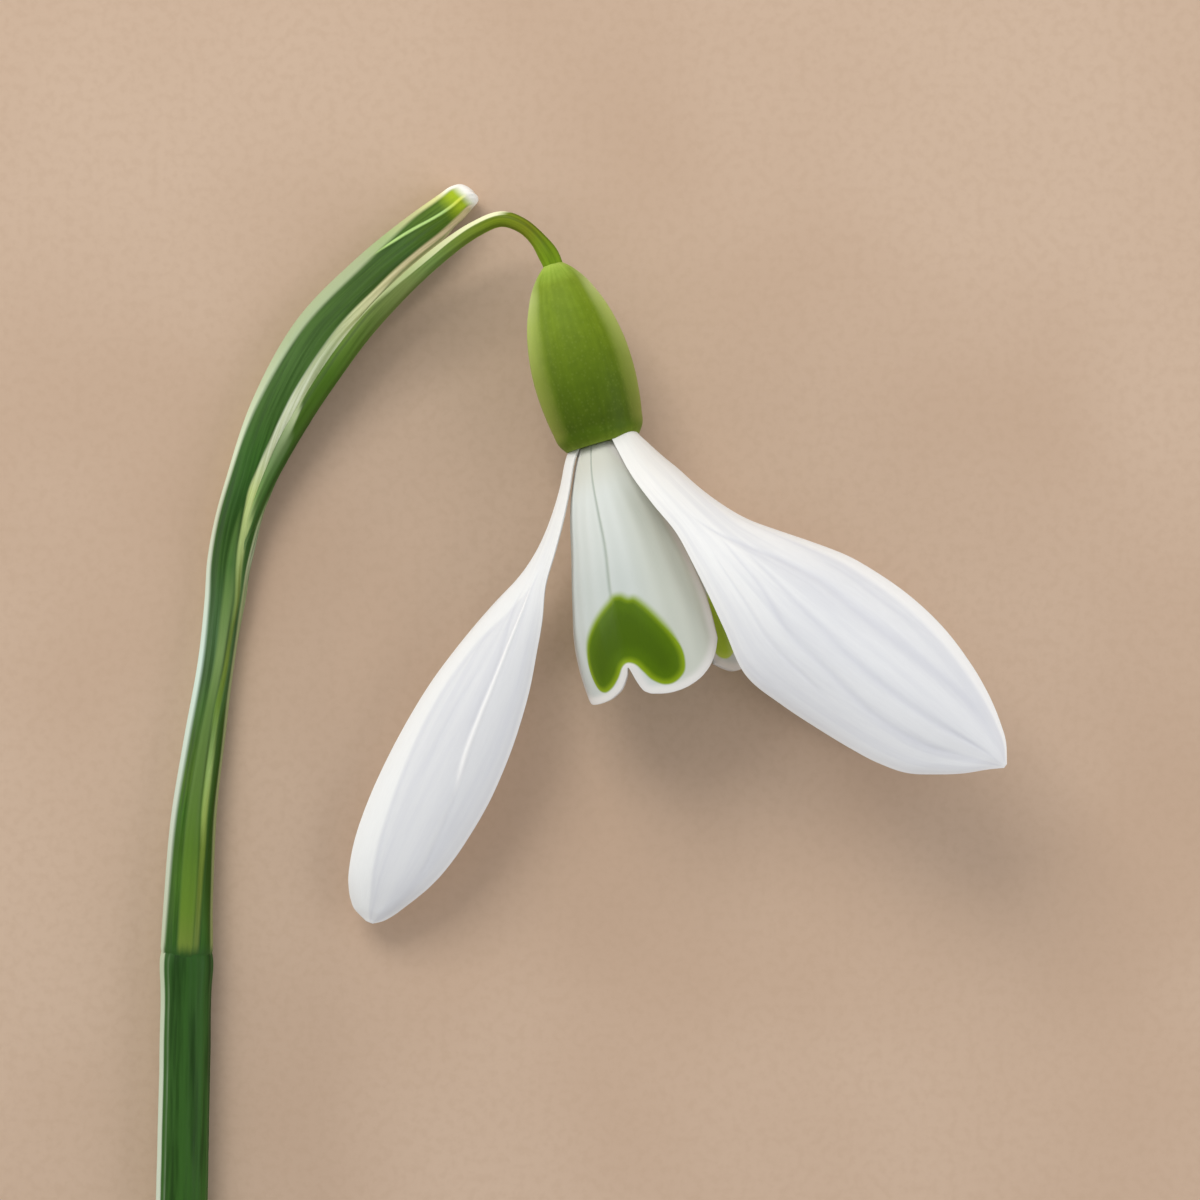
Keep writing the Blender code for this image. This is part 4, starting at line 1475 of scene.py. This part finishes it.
@dataclass
class OuterTepal:
    """One outer tepal: a narrow claw that widens into a cupped blade with furrows along it."""

    node: str
    spine: Route
    widths: tuple[tuple[float, tuple[float, float]], ...]
    cup: Table
    roll: Table
    seed: int
    veins: tuple[Vein, ...]
    folds: tuple[Vein, ...] = ()
    furrow_depth: float = 0.040
    fold_height: float = 0.07
    wave_height: float = 0.07
    swell_height: float = 0.02
    lip_height: float = 0.06
    # Where the painted highlight band along one margin begins, and on which side of that line it lies.
    band_edge: Table = ((0.0, 2.0), (1.0, 2.0))
    band_side: float = 1.0
    length: float = 27.0
    wall: float = 0.28
    margin_wall: float = 0.11
    rows: int = 200
    columns: int = 121
    # How much closer together the columns are at the margins: 0 for even, 1 for most.
    crowding: float = 0.86

    def width(self, shares: np.ndarray, side: np.ndarray) -> np.ndarray:
        """Read the width of the blade's two halves, the first for negative sides."""
        both = smooth_values(self.widths, shares)
        return np.where(side < 0.0, both[:, :1], both[:, 1:])

    def axes(self, shares: np.ndarray) -> tuple[np.ndarray, np.ndarray, np.ndarray]:
        """Place the spine and turn the blade about it.

        Args:
            shares: the rows' places along the spine.

        Returns:
            For each row its place, the direction across the blade and the one that its outer face looks in.
        """
        spine = smooth_route(self.spine, shares)
        tangent = unit(np.gradient(spine, shares, axis=0))
        level = unit(np.cross(tangent, (0.0, 0.0, 1.0)))
        upper = np.cross(level, tangent)
        roll = np.radians(smooth_values(self.roll, shares))[:, None]
        return spine, np.cos(roll) * level + np.sin(roll) * upper, np.cos(roll) * upper - np.sin(roll) * level

    def middle(self, shares: np.ndarray, side: np.ndarray) -> np.ndarray:
        """Place the blade's middle surface, as a grid of points in millimetres.

        Args:
            shares: the rows' places along the blade, 0 to 1.
            side: the places across it, -1 to 1.

        Returns:
            One point per row and column.
        """
        spine, across, outward = self.axes(shares)
        cup = np.radians(smooth_values(self.cup, shares))[:, None]
        bend = self.width(shares, side) / cup
        sideways = (bend * np.sin(side * cup))[..., None]
        inwards = (bend * (1.0 - np.cos(side * cup)))[..., None]
        return spine[:, None] + across[:, None] * sideways - outward[:, None] * inwards

    def lines(self, shares: np.ndarray, side: np.ndarray, lines: Sequence[Vein]) -> np.ndarray:
        """Draw all lines of one kind over the blade."""
        return sum((line.draw(shares, side) for line in lines), np.zeros(side.shape))

    def band(self, shares: np.ndarray, side: np.ndarray) -> np.ndarray:
        """Draw the painted highlight band along one margin, fading in over the claw.

        Args:
            shares: the rows' places along the blade, 0 to 1.
            side: the places across it, -1 to 1.

        Returns:
            1 on the band and 0 off it.
        """
        places = np.clip(shares, self.band_edge[0][0], self.band_edge[-1][0])
        beyond = (side - smooth_values(self.band_edge, places)[:, None]) * self.band_side
        return ease(-0.03, 0.07, beyond) * ease(0.16, 0.30, shares)[:, None]

    def build(self, skin: bpy.types.Material) -> bpy.types.Object:
        """Build the tepal, dress it and hand it to the frame.

        Args:
            skin: its material.

        Returns:
            The finished piece.
        """
        shares = 1.0 - (1.0 - np.linspace(0.0, 1.0, self.rows)) ** 1.3
        side = np.sin(np.linspace(-0.5, 0.5, self.columns) * math.pi * self.crowding)[None, :]
        side = side / side.max()
        grid = self.middle(shares, side)
        side = np.broadcast_to(side, grid.shape[:2])
        normals = grid_normals(grid)
        if np.sum(normals[:, self.columns // 2] * self.axes(shares)[2]) < 0.0:
            normals = -normals
        furrow = np.clip(self.lines(shares, side, self.veins), 0.0, 1.2)
        ridge = self.lines(shares, side, self.folds)
        chance = np.random.default_rng(self.seed + 50)
        phase = chance.uniform(0.0, 2.0 * math.pi, 3)
        blade = (ease(0.2, 0.45, shares) * ease(1.0, 0.93, shares))[:, None]
        wave = self.wave_height * np.sin(shares[:, None] * 11.0 + phase[0] + side * 1.5) * side**2
        swell = self.swell_height * np.cos(side * 7.0 + phase[1] + shares[:, None] * 2.0)
        width = self.width(shares, side)
        margin = np.minimum((1.0 - np.abs(side)) * width, (1.0 - shares)[:, None] * self.length)
        lip = self.lip_height * ease(1.0, 0.2, margin)
        tip = ease(1.0, 0.94, shares)[:, None]
        raised = blade * (wave + swell + lip) + tip * (self.fold_height * ridge - self.furrow_depth * furrow)
        grid = grid + normals * raised[..., None]
        wall = self.margin_wall + (self.wall - self.margin_wall) * ease(0.0, 0.9, margin)
        outer = grid + normals * (0.5 * wall)[..., None]
        inner = grid - normals * (0.5 * wall)[..., None]
        values = {
            Spot.ALONG: np.broadcast_to(shares[:, None], margin.shape),
            Spot.ACROSS: side,
            Spot.FURROW: furrow,
            Spot.RIDGE: ridge,
            Spot.BAND: self.band(shares, side),
            Spot.MARGIN: margin,
        }
        piece = Shell(f"{self.node}_piece", outer, inner, values).build()
        piece.data.materials.append(skin)
        return seat(piece, "outer_tepal_skin", self.node)


RIGHT_TEPAL = OuterTepal(
    node="outer_tepal_right",
    spine=(
        (2.62, 15.95, 5.66), (3.00, 15.25, 6.10), (3.88, 14.00, 7.05), (5.10, 12.68, 7.90),
        (7.42, 10.32, 8.75), (11.1, 7.0, 9.70), (16.1, 3.05, 10.35), (18.9, 0.85, 10.25),
        (21.90, -1.36, 9.45),
    ),
    widths=(
        (0.0, (0.80, 0.80)), (0.06, (1.40, 0.92)), (0.11, (1.64, 1.10)), (0.18, (1.72, 1.32)),
        (0.25, (1.92, 1.46)), (0.31, (2.24, 1.95)), (0.37, (2.88, 2.56)), (0.43, (3.50, 3.32)),
        (0.51, (4.10, 4.50)), (0.59, (4.26, 4.64)), (0.67, (4.20, 4.52)), (0.75, (3.88, 4.22)),
        (0.81, (3.44, 3.84)), (0.865, (2.90, 3.22)), (0.905, (2.36, 2.38)), (0.945, (1.64, 1.46)),
        (0.975, (0.98, 0.68)), (1.0, (0.12, 0.10)),
    ),
    cup=((0.0, 30.0), (0.12, 32.0), (0.3, 38.0), (0.5, 42.0), (0.75, 38.0), (0.9, 27.0), (1.0, 10.0)),
    roll=((0.0, 40.0), (0.2, 34.0), (0.4, 14.0), (0.6, 4.0), (1.0, 0.0)),
    seed=11,
    veins=(
        Vein(
            (
                (0.24, 0.25), (0.35, -0.18), (0.42, -0.35), (0.50, -0.42), (0.62, -0.38), (0.76, -0.42),
                (0.84, -0.50), (0.93, -0.54),
            ),
            (0.03, 0.10),
            0.9,
        ),
        Vein(
            (
                (0.36, -0.12), (0.47, -0.04), (0.54, 0.01), (0.62, 0.07), (0.76, 0.11), (0.89, 0.07),
                (0.96, 0.0),
            ),
            (0.03, 0.05),
            0.8,
        ),
        Vein(
            (
                (0.32, 0.05), (0.36, 0.09), (0.44, 0.16), (0.50, 0.26), (0.63, 0.35), (0.71, 0.43),
                (0.86, 0.45), (0.92, 0.42),
            ),
            (0.03, 0.06),
            0.8,
        ),
        Vein(((0.31, 0.40), (0.34, 0.44), (0.44, 0.48), (0.56, 0.53), (0.66, 0.60)), (0.025, 0.025), 0.6),
        Vein(((0.46, 0.92), (0.50, 0.89), (0.58, 0.83)), (0.03, 0.03), 0.3),
        Vein(((0.46, -0.68), (0.50, -0.70), (0.66, -0.70), (0.76, -0.80)), (0.03, 0.03), 0.35),
        Vein(((0.30, 0.02), (0.40, -0.22), (0.48, -0.30), (0.56, -0.28)), (0.025, 0.025), 0.5),
    ),
    band_edge=((0.0, -0.80), (1.0, -0.80)),
    band_side=-1.0,
)
LEFT_TEPAL = OuterTepal(
    node="outer_tepal_left",
    spine=(
        (0.20, 15.10, 4.45), (-0.12, 14.30, 4.48), (-0.50, 12.50, 4.55), (-1.40, 9.85, 4.55),
        (-3.32, 6.15, 4.50), (-5.90, 1.2, 4.35), (-8.40, -3.8, 3.7), (-9.85, -7.4, 2.9), (-10.58, -9.98, 1.8),
    ),
    widths=(
        (0.0, (0.85, 0.85)), (0.08, (0.85, 0.90)), (0.14, (1.02, 0.95)), (0.2, (1.16, 1.10)),
        (0.26, (1.36, 1.32)), (0.32, (2.00, 1.80)), (0.38, (2.44, 2.20)), (0.44, (2.88, 2.50)),
        (0.52, (3.28, 2.78)), (0.6, (3.54, 2.90)), (0.68, (3.64, 2.86)), (0.75, (3.50, 2.70)),
        (0.81, (3.22, 2.50)), (0.865, (2.76, 2.28)), (0.905, (2.24, 2.04)), (0.945, (1.56, 1.72)),
        (0.972, (1.02, 1.38)), (0.988, (0.60, 1.00)), (1.0, (0.12, 0.24)),
    ),
    cup=((0.0, 22.0), (0.12, 28.0), (0.3, 36.0), (0.5, 38.0), (0.8, 32.0), (0.92, 22.0), (1.0, 8.0)),
    roll=((0.0, -80.0), (0.18, -72.0), (0.35, -44.0), (0.5, -28.0), (0.75, -20.0), (1.0, -14.0)),
    seed=23,
    veins=(
        Vein(((0.28, -0.20), (0.31, -0.14), (0.40, -0.29), (0.53, -0.32), (0.60, -0.34)), (0.04, 0.05), 0.7),
        Vein(
            ((0.30, -0.12), (0.36, -0.05), (0.46, -0.02), (0.54, 0.06), (0.62, 0.05), (0.70, 0.02)),
            (0.04, 0.045),
            0.45,
        ),
        Vein(
            (
                (0.33, -0.14), (0.42, 0.30), (0.49, 0.40), (0.59, 0.43), (0.70, 0.38), (0.86, 0.24),
                (0.95, 0.10),
            ),
            (0.04, 0.06),
            0.5,
        ),
        Vein(((0.66, -0.52), (0.75, -0.59), (0.80, -0.62), (0.88, -0.70)), (0.04, 0.04), 0.5),
    ),
    folds=(Vein(((0.26, -0.48), (0.36, -0.40), (0.50, -0.37), (0.61, -0.41), (0.68, -0.50)), (0.03, 0.03)),),
    band_edge=(
        (0.20, -0.70), (0.26, -0.54), (0.33, -0.10), (0.40, 0.30), (0.49, 0.46), (0.59, 0.49), (0.68, 0.44),
        (0.77, 0.36), (0.86, 0.30), (0.95, 0.16), (1.0, 0.10),
    ),
)
REAR_TEPAL = OuterTepal(
    node="outer_tepal_rear",
    spine=(
        (2.45, 15.05, 2.50), (3.6, 13.3, 1.55), (5.9, 11.0, 0.72), (9.4, 8.1, 0.28), (13.4, 5.0, 0.19),
        (17.2, 2.0, 0.22), (20.9, -0.6, 0.62),
    ),
    widths=(
        (0.0, (1.0, 1.0)), (0.10, (1.10, 1.10)), (0.25, (1.4, 1.4)), (0.38, (2.4, 2.4)), (0.52, (3.5, 3.5)),
        (0.66, (3.9, 3.9)), (0.78, (3.5, 3.5)), (0.87, (2.7, 2.7)), (0.94, (1.6, 1.6)), (0.98, (0.75, 0.75)),
        (1.0, (0.10, 0.10)),
    ),
    cup=((0.0, 30.0), (0.3, 34.0), (0.55, 42.0), (0.8, 40.0), (1.0, 26.0)),
    roll=((0.0, 158.0), (0.2, 166.0), (0.45, 180.0), (1.0, 180.0)),
    seed=37,
    veins=tuple(Vein(((0.3, place), (0.9, place)), (0.04, 0.06), 0.7) for place in (-0.5, -0.15, 0.2, 0.55)),
)


@dataclass
class InnerTepal:
    """One inner tepal: a curved panel of the bell, notched at its end, with a green mark.

    Its azimuth and reaches are degrees round the flower axis: where its middle is, and how far it spans to
    each side at its base and at the bell's mouth. Inset is how much closer to the axis it lies.
    """

    node: str
    azimuth: float
    base_reach: float
    mouth_reach: float
    inset: float
    mark_shift: float = 0.0
    mark_scale: float = 1.0
    shorter: float = 0.0
    flare: Table = ((0.0, 0.0), (13.5, 0.0))
    bell: Table = (
        (0.0, 1.38), (1.0, 1.85), (2.3, 2.38), (5.4, 3.18), (7.4, 3.7), (9.4, 4.12), (11.2, 4.25),
        (13.4, 4.12),
    )
    inset_length: float = 4.0
    # Length at places across the blade: two rounded lobes and a narrow notch between them.
    end: Table = (
        (-1.0, 12.55), (-0.85, 12.86), (-0.69, 12.93), (-0.51, 12.92), (-0.29, 12.74), (-0.13, 12.32),
        (-0.05, 11.86), (0.0, 11.50), (0.03, 12.10), (0.07, 12.68), (0.13, 12.98), (0.22, 13.14),
        (0.45, 13.26), (0.60, 13.13), (0.76, 12.78), (0.86, 12.38), (0.95, 11.78), (1.0, 11.25),
    )
    # Outline of the green mark: millimetres across the blade and down from the rim.
    mark: Outline = (
        (-0.36, 7.96), (-0.05, 7.74), (0.40, 7.78), (0.75, 8.02), (1.10, 8.10), (1.55, 8.60), (2.05, 9.35),
        (2.50, 10.20), (2.80, 11.10), (2.82, 11.80), (2.60, 12.42), (2.02, 12.80), (1.46, 12.78),
        (0.95, 12.39), (0.62, 11.84), (0.36, 11.42), (0.0, 11.24), (-0.36, 11.38), (-0.80, 11.88),
        (-1.40, 12.30), (-2.05, 12.42), (-2.60, 12.02), (-2.82, 11.00), (-2.55, 9.95), (-1.90, 9.12),
        (-1.05, 8.42),
    )
    groove: Table = (
        (0.0, -0.06), (0.9, -0.08), (3.0, -0.03), (5.0, -0.01), (7.8, -0.035), (11.5, 0.0), (14.0, 0.0),
    )
    length: float = 13.2
    mouth_radius: float = 4.1
    wall: float = 0.24
    margin_wall: float = 0.13
    rows: int = 150
    columns: int = 131

    def build(self, skin: bpy.types.Material) -> bpy.types.Object:
        """Build the tepal, dress it and hand it to the frame.

        Args:
            skin: its material.

        Returns:
            The finished piece.
        """
        side = self.side_places()
        end = smooth_values(self.end, side) - self.shorter
        steps = 1.0 - (1.0 - np.linspace(0.0, 1.0, self.rows)) ** 1.3
        down = 0.02 + (end - 0.02)[None, :] * steps[:, None]
        side = np.broadcast_to(side[None, :], down.shape)
        opening = np.clip(down / self.inset_length, 0.0, 1.0)
        radius = smooth_values(self.bell, down) - self.inset * opening
        reach = self.base_reach + (self.mouth_reach - self.base_reach) * opening
        reach = reach + smooth_values(self.flare, down)
        angle = np.radians(self.azimuth + side * reach)
        arc = side * np.radians(reach) * radius
        to_side = (1.0 - np.abs(side)) * np.radians(reach) * radius
        margin = np.minimum(to_side, self.end_distance(side, down))
        groove = np.exp(-(((side - smooth_values(self.groove, down)) / 0.022) ** 2))
        veins = 0.5 - 0.5 * np.cos(side * 28.0)
        lip = np.exp(-((margin / 0.34) ** 2)) * ease(6.0, 10.5, down)
        blade = ease(1.0, 4.0, down) * (1.0 - ease(0.0, 0.6, 1.0 - margin))
        radius = radius - 0.05 * groove * ease(8.6, 7.2, down) - 0.018 * veins * blade + 0.10 * lip
        points = np.stack([radius * np.sin(angle), radius * np.cos(angle), down], axis=-1)
        out = np.stack([np.sin(angle), np.cos(angle), np.zeros_like(angle)], axis=-1)
        wall = self.margin_wall + (self.wall - self.margin_wall) * ease(0.0, 0.7, margin)
        wall = wall + 0.07 * lip
        place = np.stack([(arc - self.mark_shift) / self.mark_scale, down], axis=-1)
        values = {
            Spot.ALONG: down / self.length,
            Spot.ACROSS: side,
            Spot.FURROW: np.clip(groove * ease(8.3, 7.4, down) + 0.12 * veins * blade, 0.0, 1.0),
            Spot.MARGIN: margin,
            Spot.MARK: outline_distance(place, self.mark),
            Spot.SOFTNESS: 0.06 + 0.16 * ease(11.3, 9.6, down),
        }
        outer = in_flower(points + out * (0.5 * wall)[..., None])
        inner = in_flower(points - out * (0.5 * wall)[..., None])
        piece = Shell(f"{self.node}_piece", outer, inner, values).build()
        piece.data.materials.append(skin)
        return seat(piece, "inner_tepal_skin", self.node)

    def side_places(self) -> np.ndarray:
        """Places of the columns across the blade, closer together at the notch."""
        even = np.linspace(-1.0, 1.0, self.columns)
        return even - 0.10 * np.sin(even * math.pi) * np.cos(even * math.pi / 2.0)

    def end_distance(self, side: np.ndarray, down: np.ndarray) -> np.ndarray:
        """Distance of each point to the blade's lower edge, in millimetres.

        Args:
            side: the places of the points across it, -1 to 1.
            down: their millimetres down from the rim.

        Returns:
            One distance per point.
        """
        places = np.linspace(-1.0, 1.0, 161)
        edge = smooth_values(self.end, places) - self.shorter
        mouth = np.radians(self.mouth_reach) * self.mouth_radius
        nearest = np.full(down.shape, 1e9)
        for place, length in zip(places, edge):
            nearest = np.minimum(nearest, np.hypot((side - place) * mouth, down - length))
        return nearest


@dataclass
class Flower:
    """The six tepals of the flower."""

    outer: tuple[OuterTepal, ...] = (RIGHT_TEPAL, LEFT_TEPAL, REAR_TEPAL)
    inner: tuple[InnerTepal, ...] = (
        InnerTepal(
            "inner_tepal_front",
            azimuth=-26.0,
            base_reach=45.0,
            mouth_reach=64.0,
            inset=0.0,
            flare=((0.0, 0.0), (3.0, 4.0), (6.0, 7.0), (8.5, 5.0), (11.0, 1.5), (13.5, 0.0)),
        ),
        InnerTepal(
            "inner_tepal_right",
            azimuth=97.0,
            base_reach=46.0,
            mouth_reach=60.0,
            inset=0.52,
            mark_shift=-0.5,
            mark_scale=1.2,
            end=(
                (-1.0, 12.50), (-0.85, 12.86), (-0.70, 13.10), (-0.50, 13.20), (-0.30, 13.10), (-0.15, 12.86),
                (-0.06, 12.35), (0.0, 11.60), (0.06, 12.35), (0.15, 12.86), (0.30, 12.98), (0.50, 12.80),
                (0.70, 12.50), (0.85, 12.10), (1.0, 11.40),
            ),
        ),
        InnerTepal(
            "inner_tepal_rear", azimuth=-143.0, base_reach=46.0, mouth_reach=54.0, inset=0.52, shorter=1.2
        ),
    )
    # The left tepal is a little greyer than the others from its claw on: a painted-shade copy of the white
    # skin.
    left_shaded_tones: dict[str, Any] = field(
        default_factory=lambda: {
            "white": "#edefee",
            "body": "#e0e2e4",
            "claw": "#edece6",
            "white_until": (0.20, 0.42),
        }
    )
    # The tepals that lie inside the bell carry their marks in lighter greens: painted light against the shade
    # of the tepals over them.
    lightened_mark: dict[str, str] = field(
        default_factory=lambda: {"mark_rim": "#b5cc4a", "mark_mid": "#a2c030", "mark_deep": "#96b424"}
    )

    def build(self) -> None:
        """Build all six tepals."""
        # The greyer copy is painted shade for the left tepal.
        white, grey = (
            PetalSkin(name, roughness=0.58, sheen=0.04, scatter=0.25, scatter_depth=0.5, **tones).build()
            for name, tones in (("white_petal_skin", {}), ("shaded_white_petal_skin", self.left_shaded_tones))
        )
        # The second copy's lighter mark is painted light for the tepals shaded inside the bell.
        marked = (("green_marked_petal_skin", {}), ("lightened_green_marked_petal_skin", self.lightened_mark))
        glassy, shaded = (
            InnerPetalSkin(name, roughness=0.52, ior=1.24, scatter=0.12, scatter_depth=0.3, **marks).build()
            for name, marks in marked
        )
        for tepal, skin in zip(self.outer, (white, grey, white)):
            tepal.build(skin)
        for tepal, skin in zip(self.inner, (glassy, shaded, shaded)):
            tepal.build(skin)


# ---------------------------------------------------------------------------------------------------
# Stamens and style


@dataclass
class Stamens:
    """Six stamens round the style, each a white filament with a pointed orange-yellow anther."""

    count: int = 6
    ring: float = 0.96
    lean: float = 1.8
    lean_spread: float = 0.6
    seed: int = 3
    foot: float = 0.05
    sides: int = 28
    outline: Table = (
        (0.0, 0.17), (0.55, 0.14), (1.02, 0.13), (1.16, 0.22), (1.4, 0.30), (2.2, 0.34), (4.2, 0.30),
        (5.5, 0.19), (6.2, 0.11), (6.55, 0.05), (6.6, 0.01),
    )
    length: float = 6.6
    anther_start: float = 1.1

    def stamen(self) -> bpy.types.Object:
        """Make one stamen, standing on the origin along Z, grooved along its pollen sacs.

        Returns:
            The new object.
        """
        heights = np.unique(np.concatenate([np.linspace(0.0, self.length, 67), np.linspace(0.95, 1.5, 12)]))
        radii = np.maximum(smooth_values(self.outline, heights), 0.008)
        turns = np.linspace(0.0, 2.0 * math.pi, self.sides, endpoint=False)
        sac = ease(self.anther_start - 0.05, self.anther_start + 0.5, heights)
        groove = 1.0 - 0.20 * sac[:, None] * np.abs(np.cos(turns * 2.0))[None, :] ** 6
        rings = radii[:, None] * groove
        along = np.broadcast_to(heights[:, None], rings.shape)
        flattened = rings * np.sin(turns) * (1.0 - 0.12 * sac[:, None])
        points = np.stack([rings * np.cos(turns), flattened, along], axis=-1)
        rows, size = len(heights), self.sides
        faces: list[Sequence[int]] = [range(size)[::-1], range((rows - 1) * size, rows * size)]
        for row in range(rows - 1):
            for column in range(size):
                first, follow = row * size + column, row * size + (column + 1) % size
                faces.append((first, follow, follow + size, first + size))
        mesh = bpy.data.meshes.new("stamen")
        mesh.from_pydata([Vector(p) for p in points.reshape(-1, 3) * MM], [], faces)
        mesh.shade_smooth()
        pollen = mesh.attributes.new(Spot.POLLEN.value, "FLOAT", "FACE")
        middles = np.array([face.center.z for face in mesh.polygons]) / MM
        pollen.data.foreach_set("value", (middles > self.anther_start).astype(np.float32))
        store(mesh, Spot.ALONG.value, along)
        store(mesh, Spot.ACROSS.value, along / self.length)
        around = mesh.attributes.new(Spot.AROUND.value, "FLOAT_VECTOR", "POINT")
        facing = np.stack([np.cos(turns), np.sin(turns), np.zeros(size)], axis=-1)
        around.data.foreach_set("vector", np.tile(facing, (rows, 1)).astype(np.float32).reshape(-1))
        return add_object("stamen", mesh)

    def build(self, tree: bpy.types.NodeTree) -> bpy.types.Object:
        """Set the stamens in their ring, dress them and hand them to the frame.

        Args:
            tree: the tree that sets copies in a ring.

        Returns:
            The finished piece.
        """
        inputs = {
            "Count": self.count,
            "Ring Radius": self.ring * MM,
            "Lean": -math.radians(self.lean),
            "Spread": math.radians(self.lean_spread),
            "Seed": self.seed,
            "Thread": ThreadSkin("filament_skin", roughness=0.4, scatter=0.2).build(),
            "Pollen": PollenSkin("pollen_sac_skin", roughness=0.8, scatter=0.1).build(),
        }
        piece = run_tree(self.stamen(), tree, inputs, "stamens_piece")
        place = flower_matrix() @ Matrix.Translation(Vector((0.0, 0.0, self.foot)))
        place.translation = place.translation * MM
        piece.data.transform(place)
        piece.data.update()
        nodes = [f"stamen_{number + 1}" for number in range(self.count)]
        return seat(piece, "anther_skin", *nodes)


def style_stalk() -> Stalk:
    """The style, the thread in the middle of the flower that ends in the stigma.

    Returns:
        The style as a stalk.
    """
    outline = (
        (0.0, 0.26), (0.065, 0.19), (0.65, 0.17), (0.86, 0.19), (0.93, 0.21), (0.97, 0.16), (1.0, 0.06),
    )
    rim, top = np.array(OVARY_RIM), np.array(OVARY_TOP)
    down = (rim - top) / np.linalg.norm(rim - top)
    bend = np.array([0.02, 0.01, 0.05])
    places = ((0.05, 0.0), (3.2, 1.0), (6.4, 1.4), (9.4, 0.2))
    route = tuple(tuple(rim + down * place + bend * sway) for place, sway in places)
    return Stalk(
        node="style",
        slot="style_skin",
        route=route,
        girth=outline,
        finish=ThreadSkin("style_skin", roughness=0.38, scatter=0.2, foot="#c9d99a", thread="#e6ecc8"),
        ribs=3.0,
        rib_height=0.006,
        unevenness=0.01,
        sides=24,
        step=0.12,
        seed=4.0,
    )


# ---------------------------------------------------------------------------------------------------
# Studio


@dataclass
class Studio:
    """Pale paper floor, soft lights and the camera that looks straight down on the flower."""

    eye: Point = (1.5, 7.0, 177.333)
    lens: float = 100.0
    sensor: float = 36.0
    floor_size: float = 3000.0
    aim: Point = (0.0, 4.0, 2.0)
    # Name, place, size, power and tint of each light.
    panels: tuple[tuple[str, Point, tuple[float, float], float, str], ...] = (
        ("key_panel", (-90.0, 190.0, 210.0), (150.0, 150.0), 0.40, "#fffcf8"),
        ("left_edge_panel", (-475.0, 144.0, 97.0), (300.0, 150.0), 0.875, "#ffffff"),
        ("right_fill_panel", (190.0, -20.0, 120.0), (160.0, 160.0), 0.18, "#fbfbff"),
    )
    room_tint: str = "#f0f1f3"
    room_light: float = 0.50

    def floor(self) -> None:
        """Lay the floor where the flower's lowest point is."""
        half, level = self.floor_size / 2.0, CAD_BOX[0].z / MM
        corners = [(-half, -half, level), (half, -half, level), (half, half, level), (-half, half, level)]
        mesh = bpy.data.meshes.new("floor")
        mesh.from_pydata([Vector(corner) * MM for corner in corners], [], [(0, 1, 2, 3)])
        floor = add_object("floor", mesh)
        mesh.materials.append(BackdropPaper("backdrop_paper", roughness=0.85).build())

    def light(self, name: str, place: Point, size: tuple[float, float], power: float, tint: str) -> None:
        """Hang one soft panel light that faces the flower.

        Args:
            name: the light's name.
            place: where it hangs, in millimetres.
            size: its width and height, in millimetres.
            power: its power in watts.
            tint: its colour.
        """
        data = bpy.data.lights.new(name, "AREA")
        data.shape = "RECTANGLE"
        data.size, data.size_y = size[0] * MM, size[1] * MM
        data.energy = power
        data.color = linear(tint)[:3]
        lamp = add_object(name, data)
        lamp.location = Vector(place) * MM
        lamp.rotation_euler = (Vector(self.aim) - Vector(place)).to_track_quat("-Z", "Y").to_euler()

    def sky(self) -> None:
        """Fill the room with an even soft light."""
        world = bpy.data.worlds.new("room_light")
        world.use_nodes = True
        back = world.node_tree.nodes["Background"]
        back.inputs["Color"].default_value = linear(self.room_tint)
        back.inputs["Strength"].default_value = self.room_light
        bpy.context.scene.world = world

    def camera(self) -> None:
        """Set the camera straight above, its picture's up along the stalk."""
        data = bpy.data.cameras.new("camera")
        data.lens, data.sensor_width = self.lens, self.sensor
        data.clip_start, data.clip_end = 0.01, 10.0
        camera = add_object("camera", data)
        camera.location = Vector(self.eye) * MM
        bpy.context.scene.camera = camera

    def build(self) -> None:
        """Set the stage."""
        self.floor()
        self.sky()
        for panel in self.panels:
            self.light(*panel)
        self.camera()
        bpy.context.scene.view_settings.view_transform = "Standard"


def main() -> None:
    """Build the flower and its stage in order."""
    logging.basicConfig(level=logging.INFO, format="%(name)s: %(message)s")
    stalks = stalk_tree()
    Greenery().build(stalks)
    Sheath().build()
    Flower().build()
    Stamens().build(ring_tree())
    style_stalk().build(stalks)
    Studio().build()


if __name__ == "__main__":
    main()
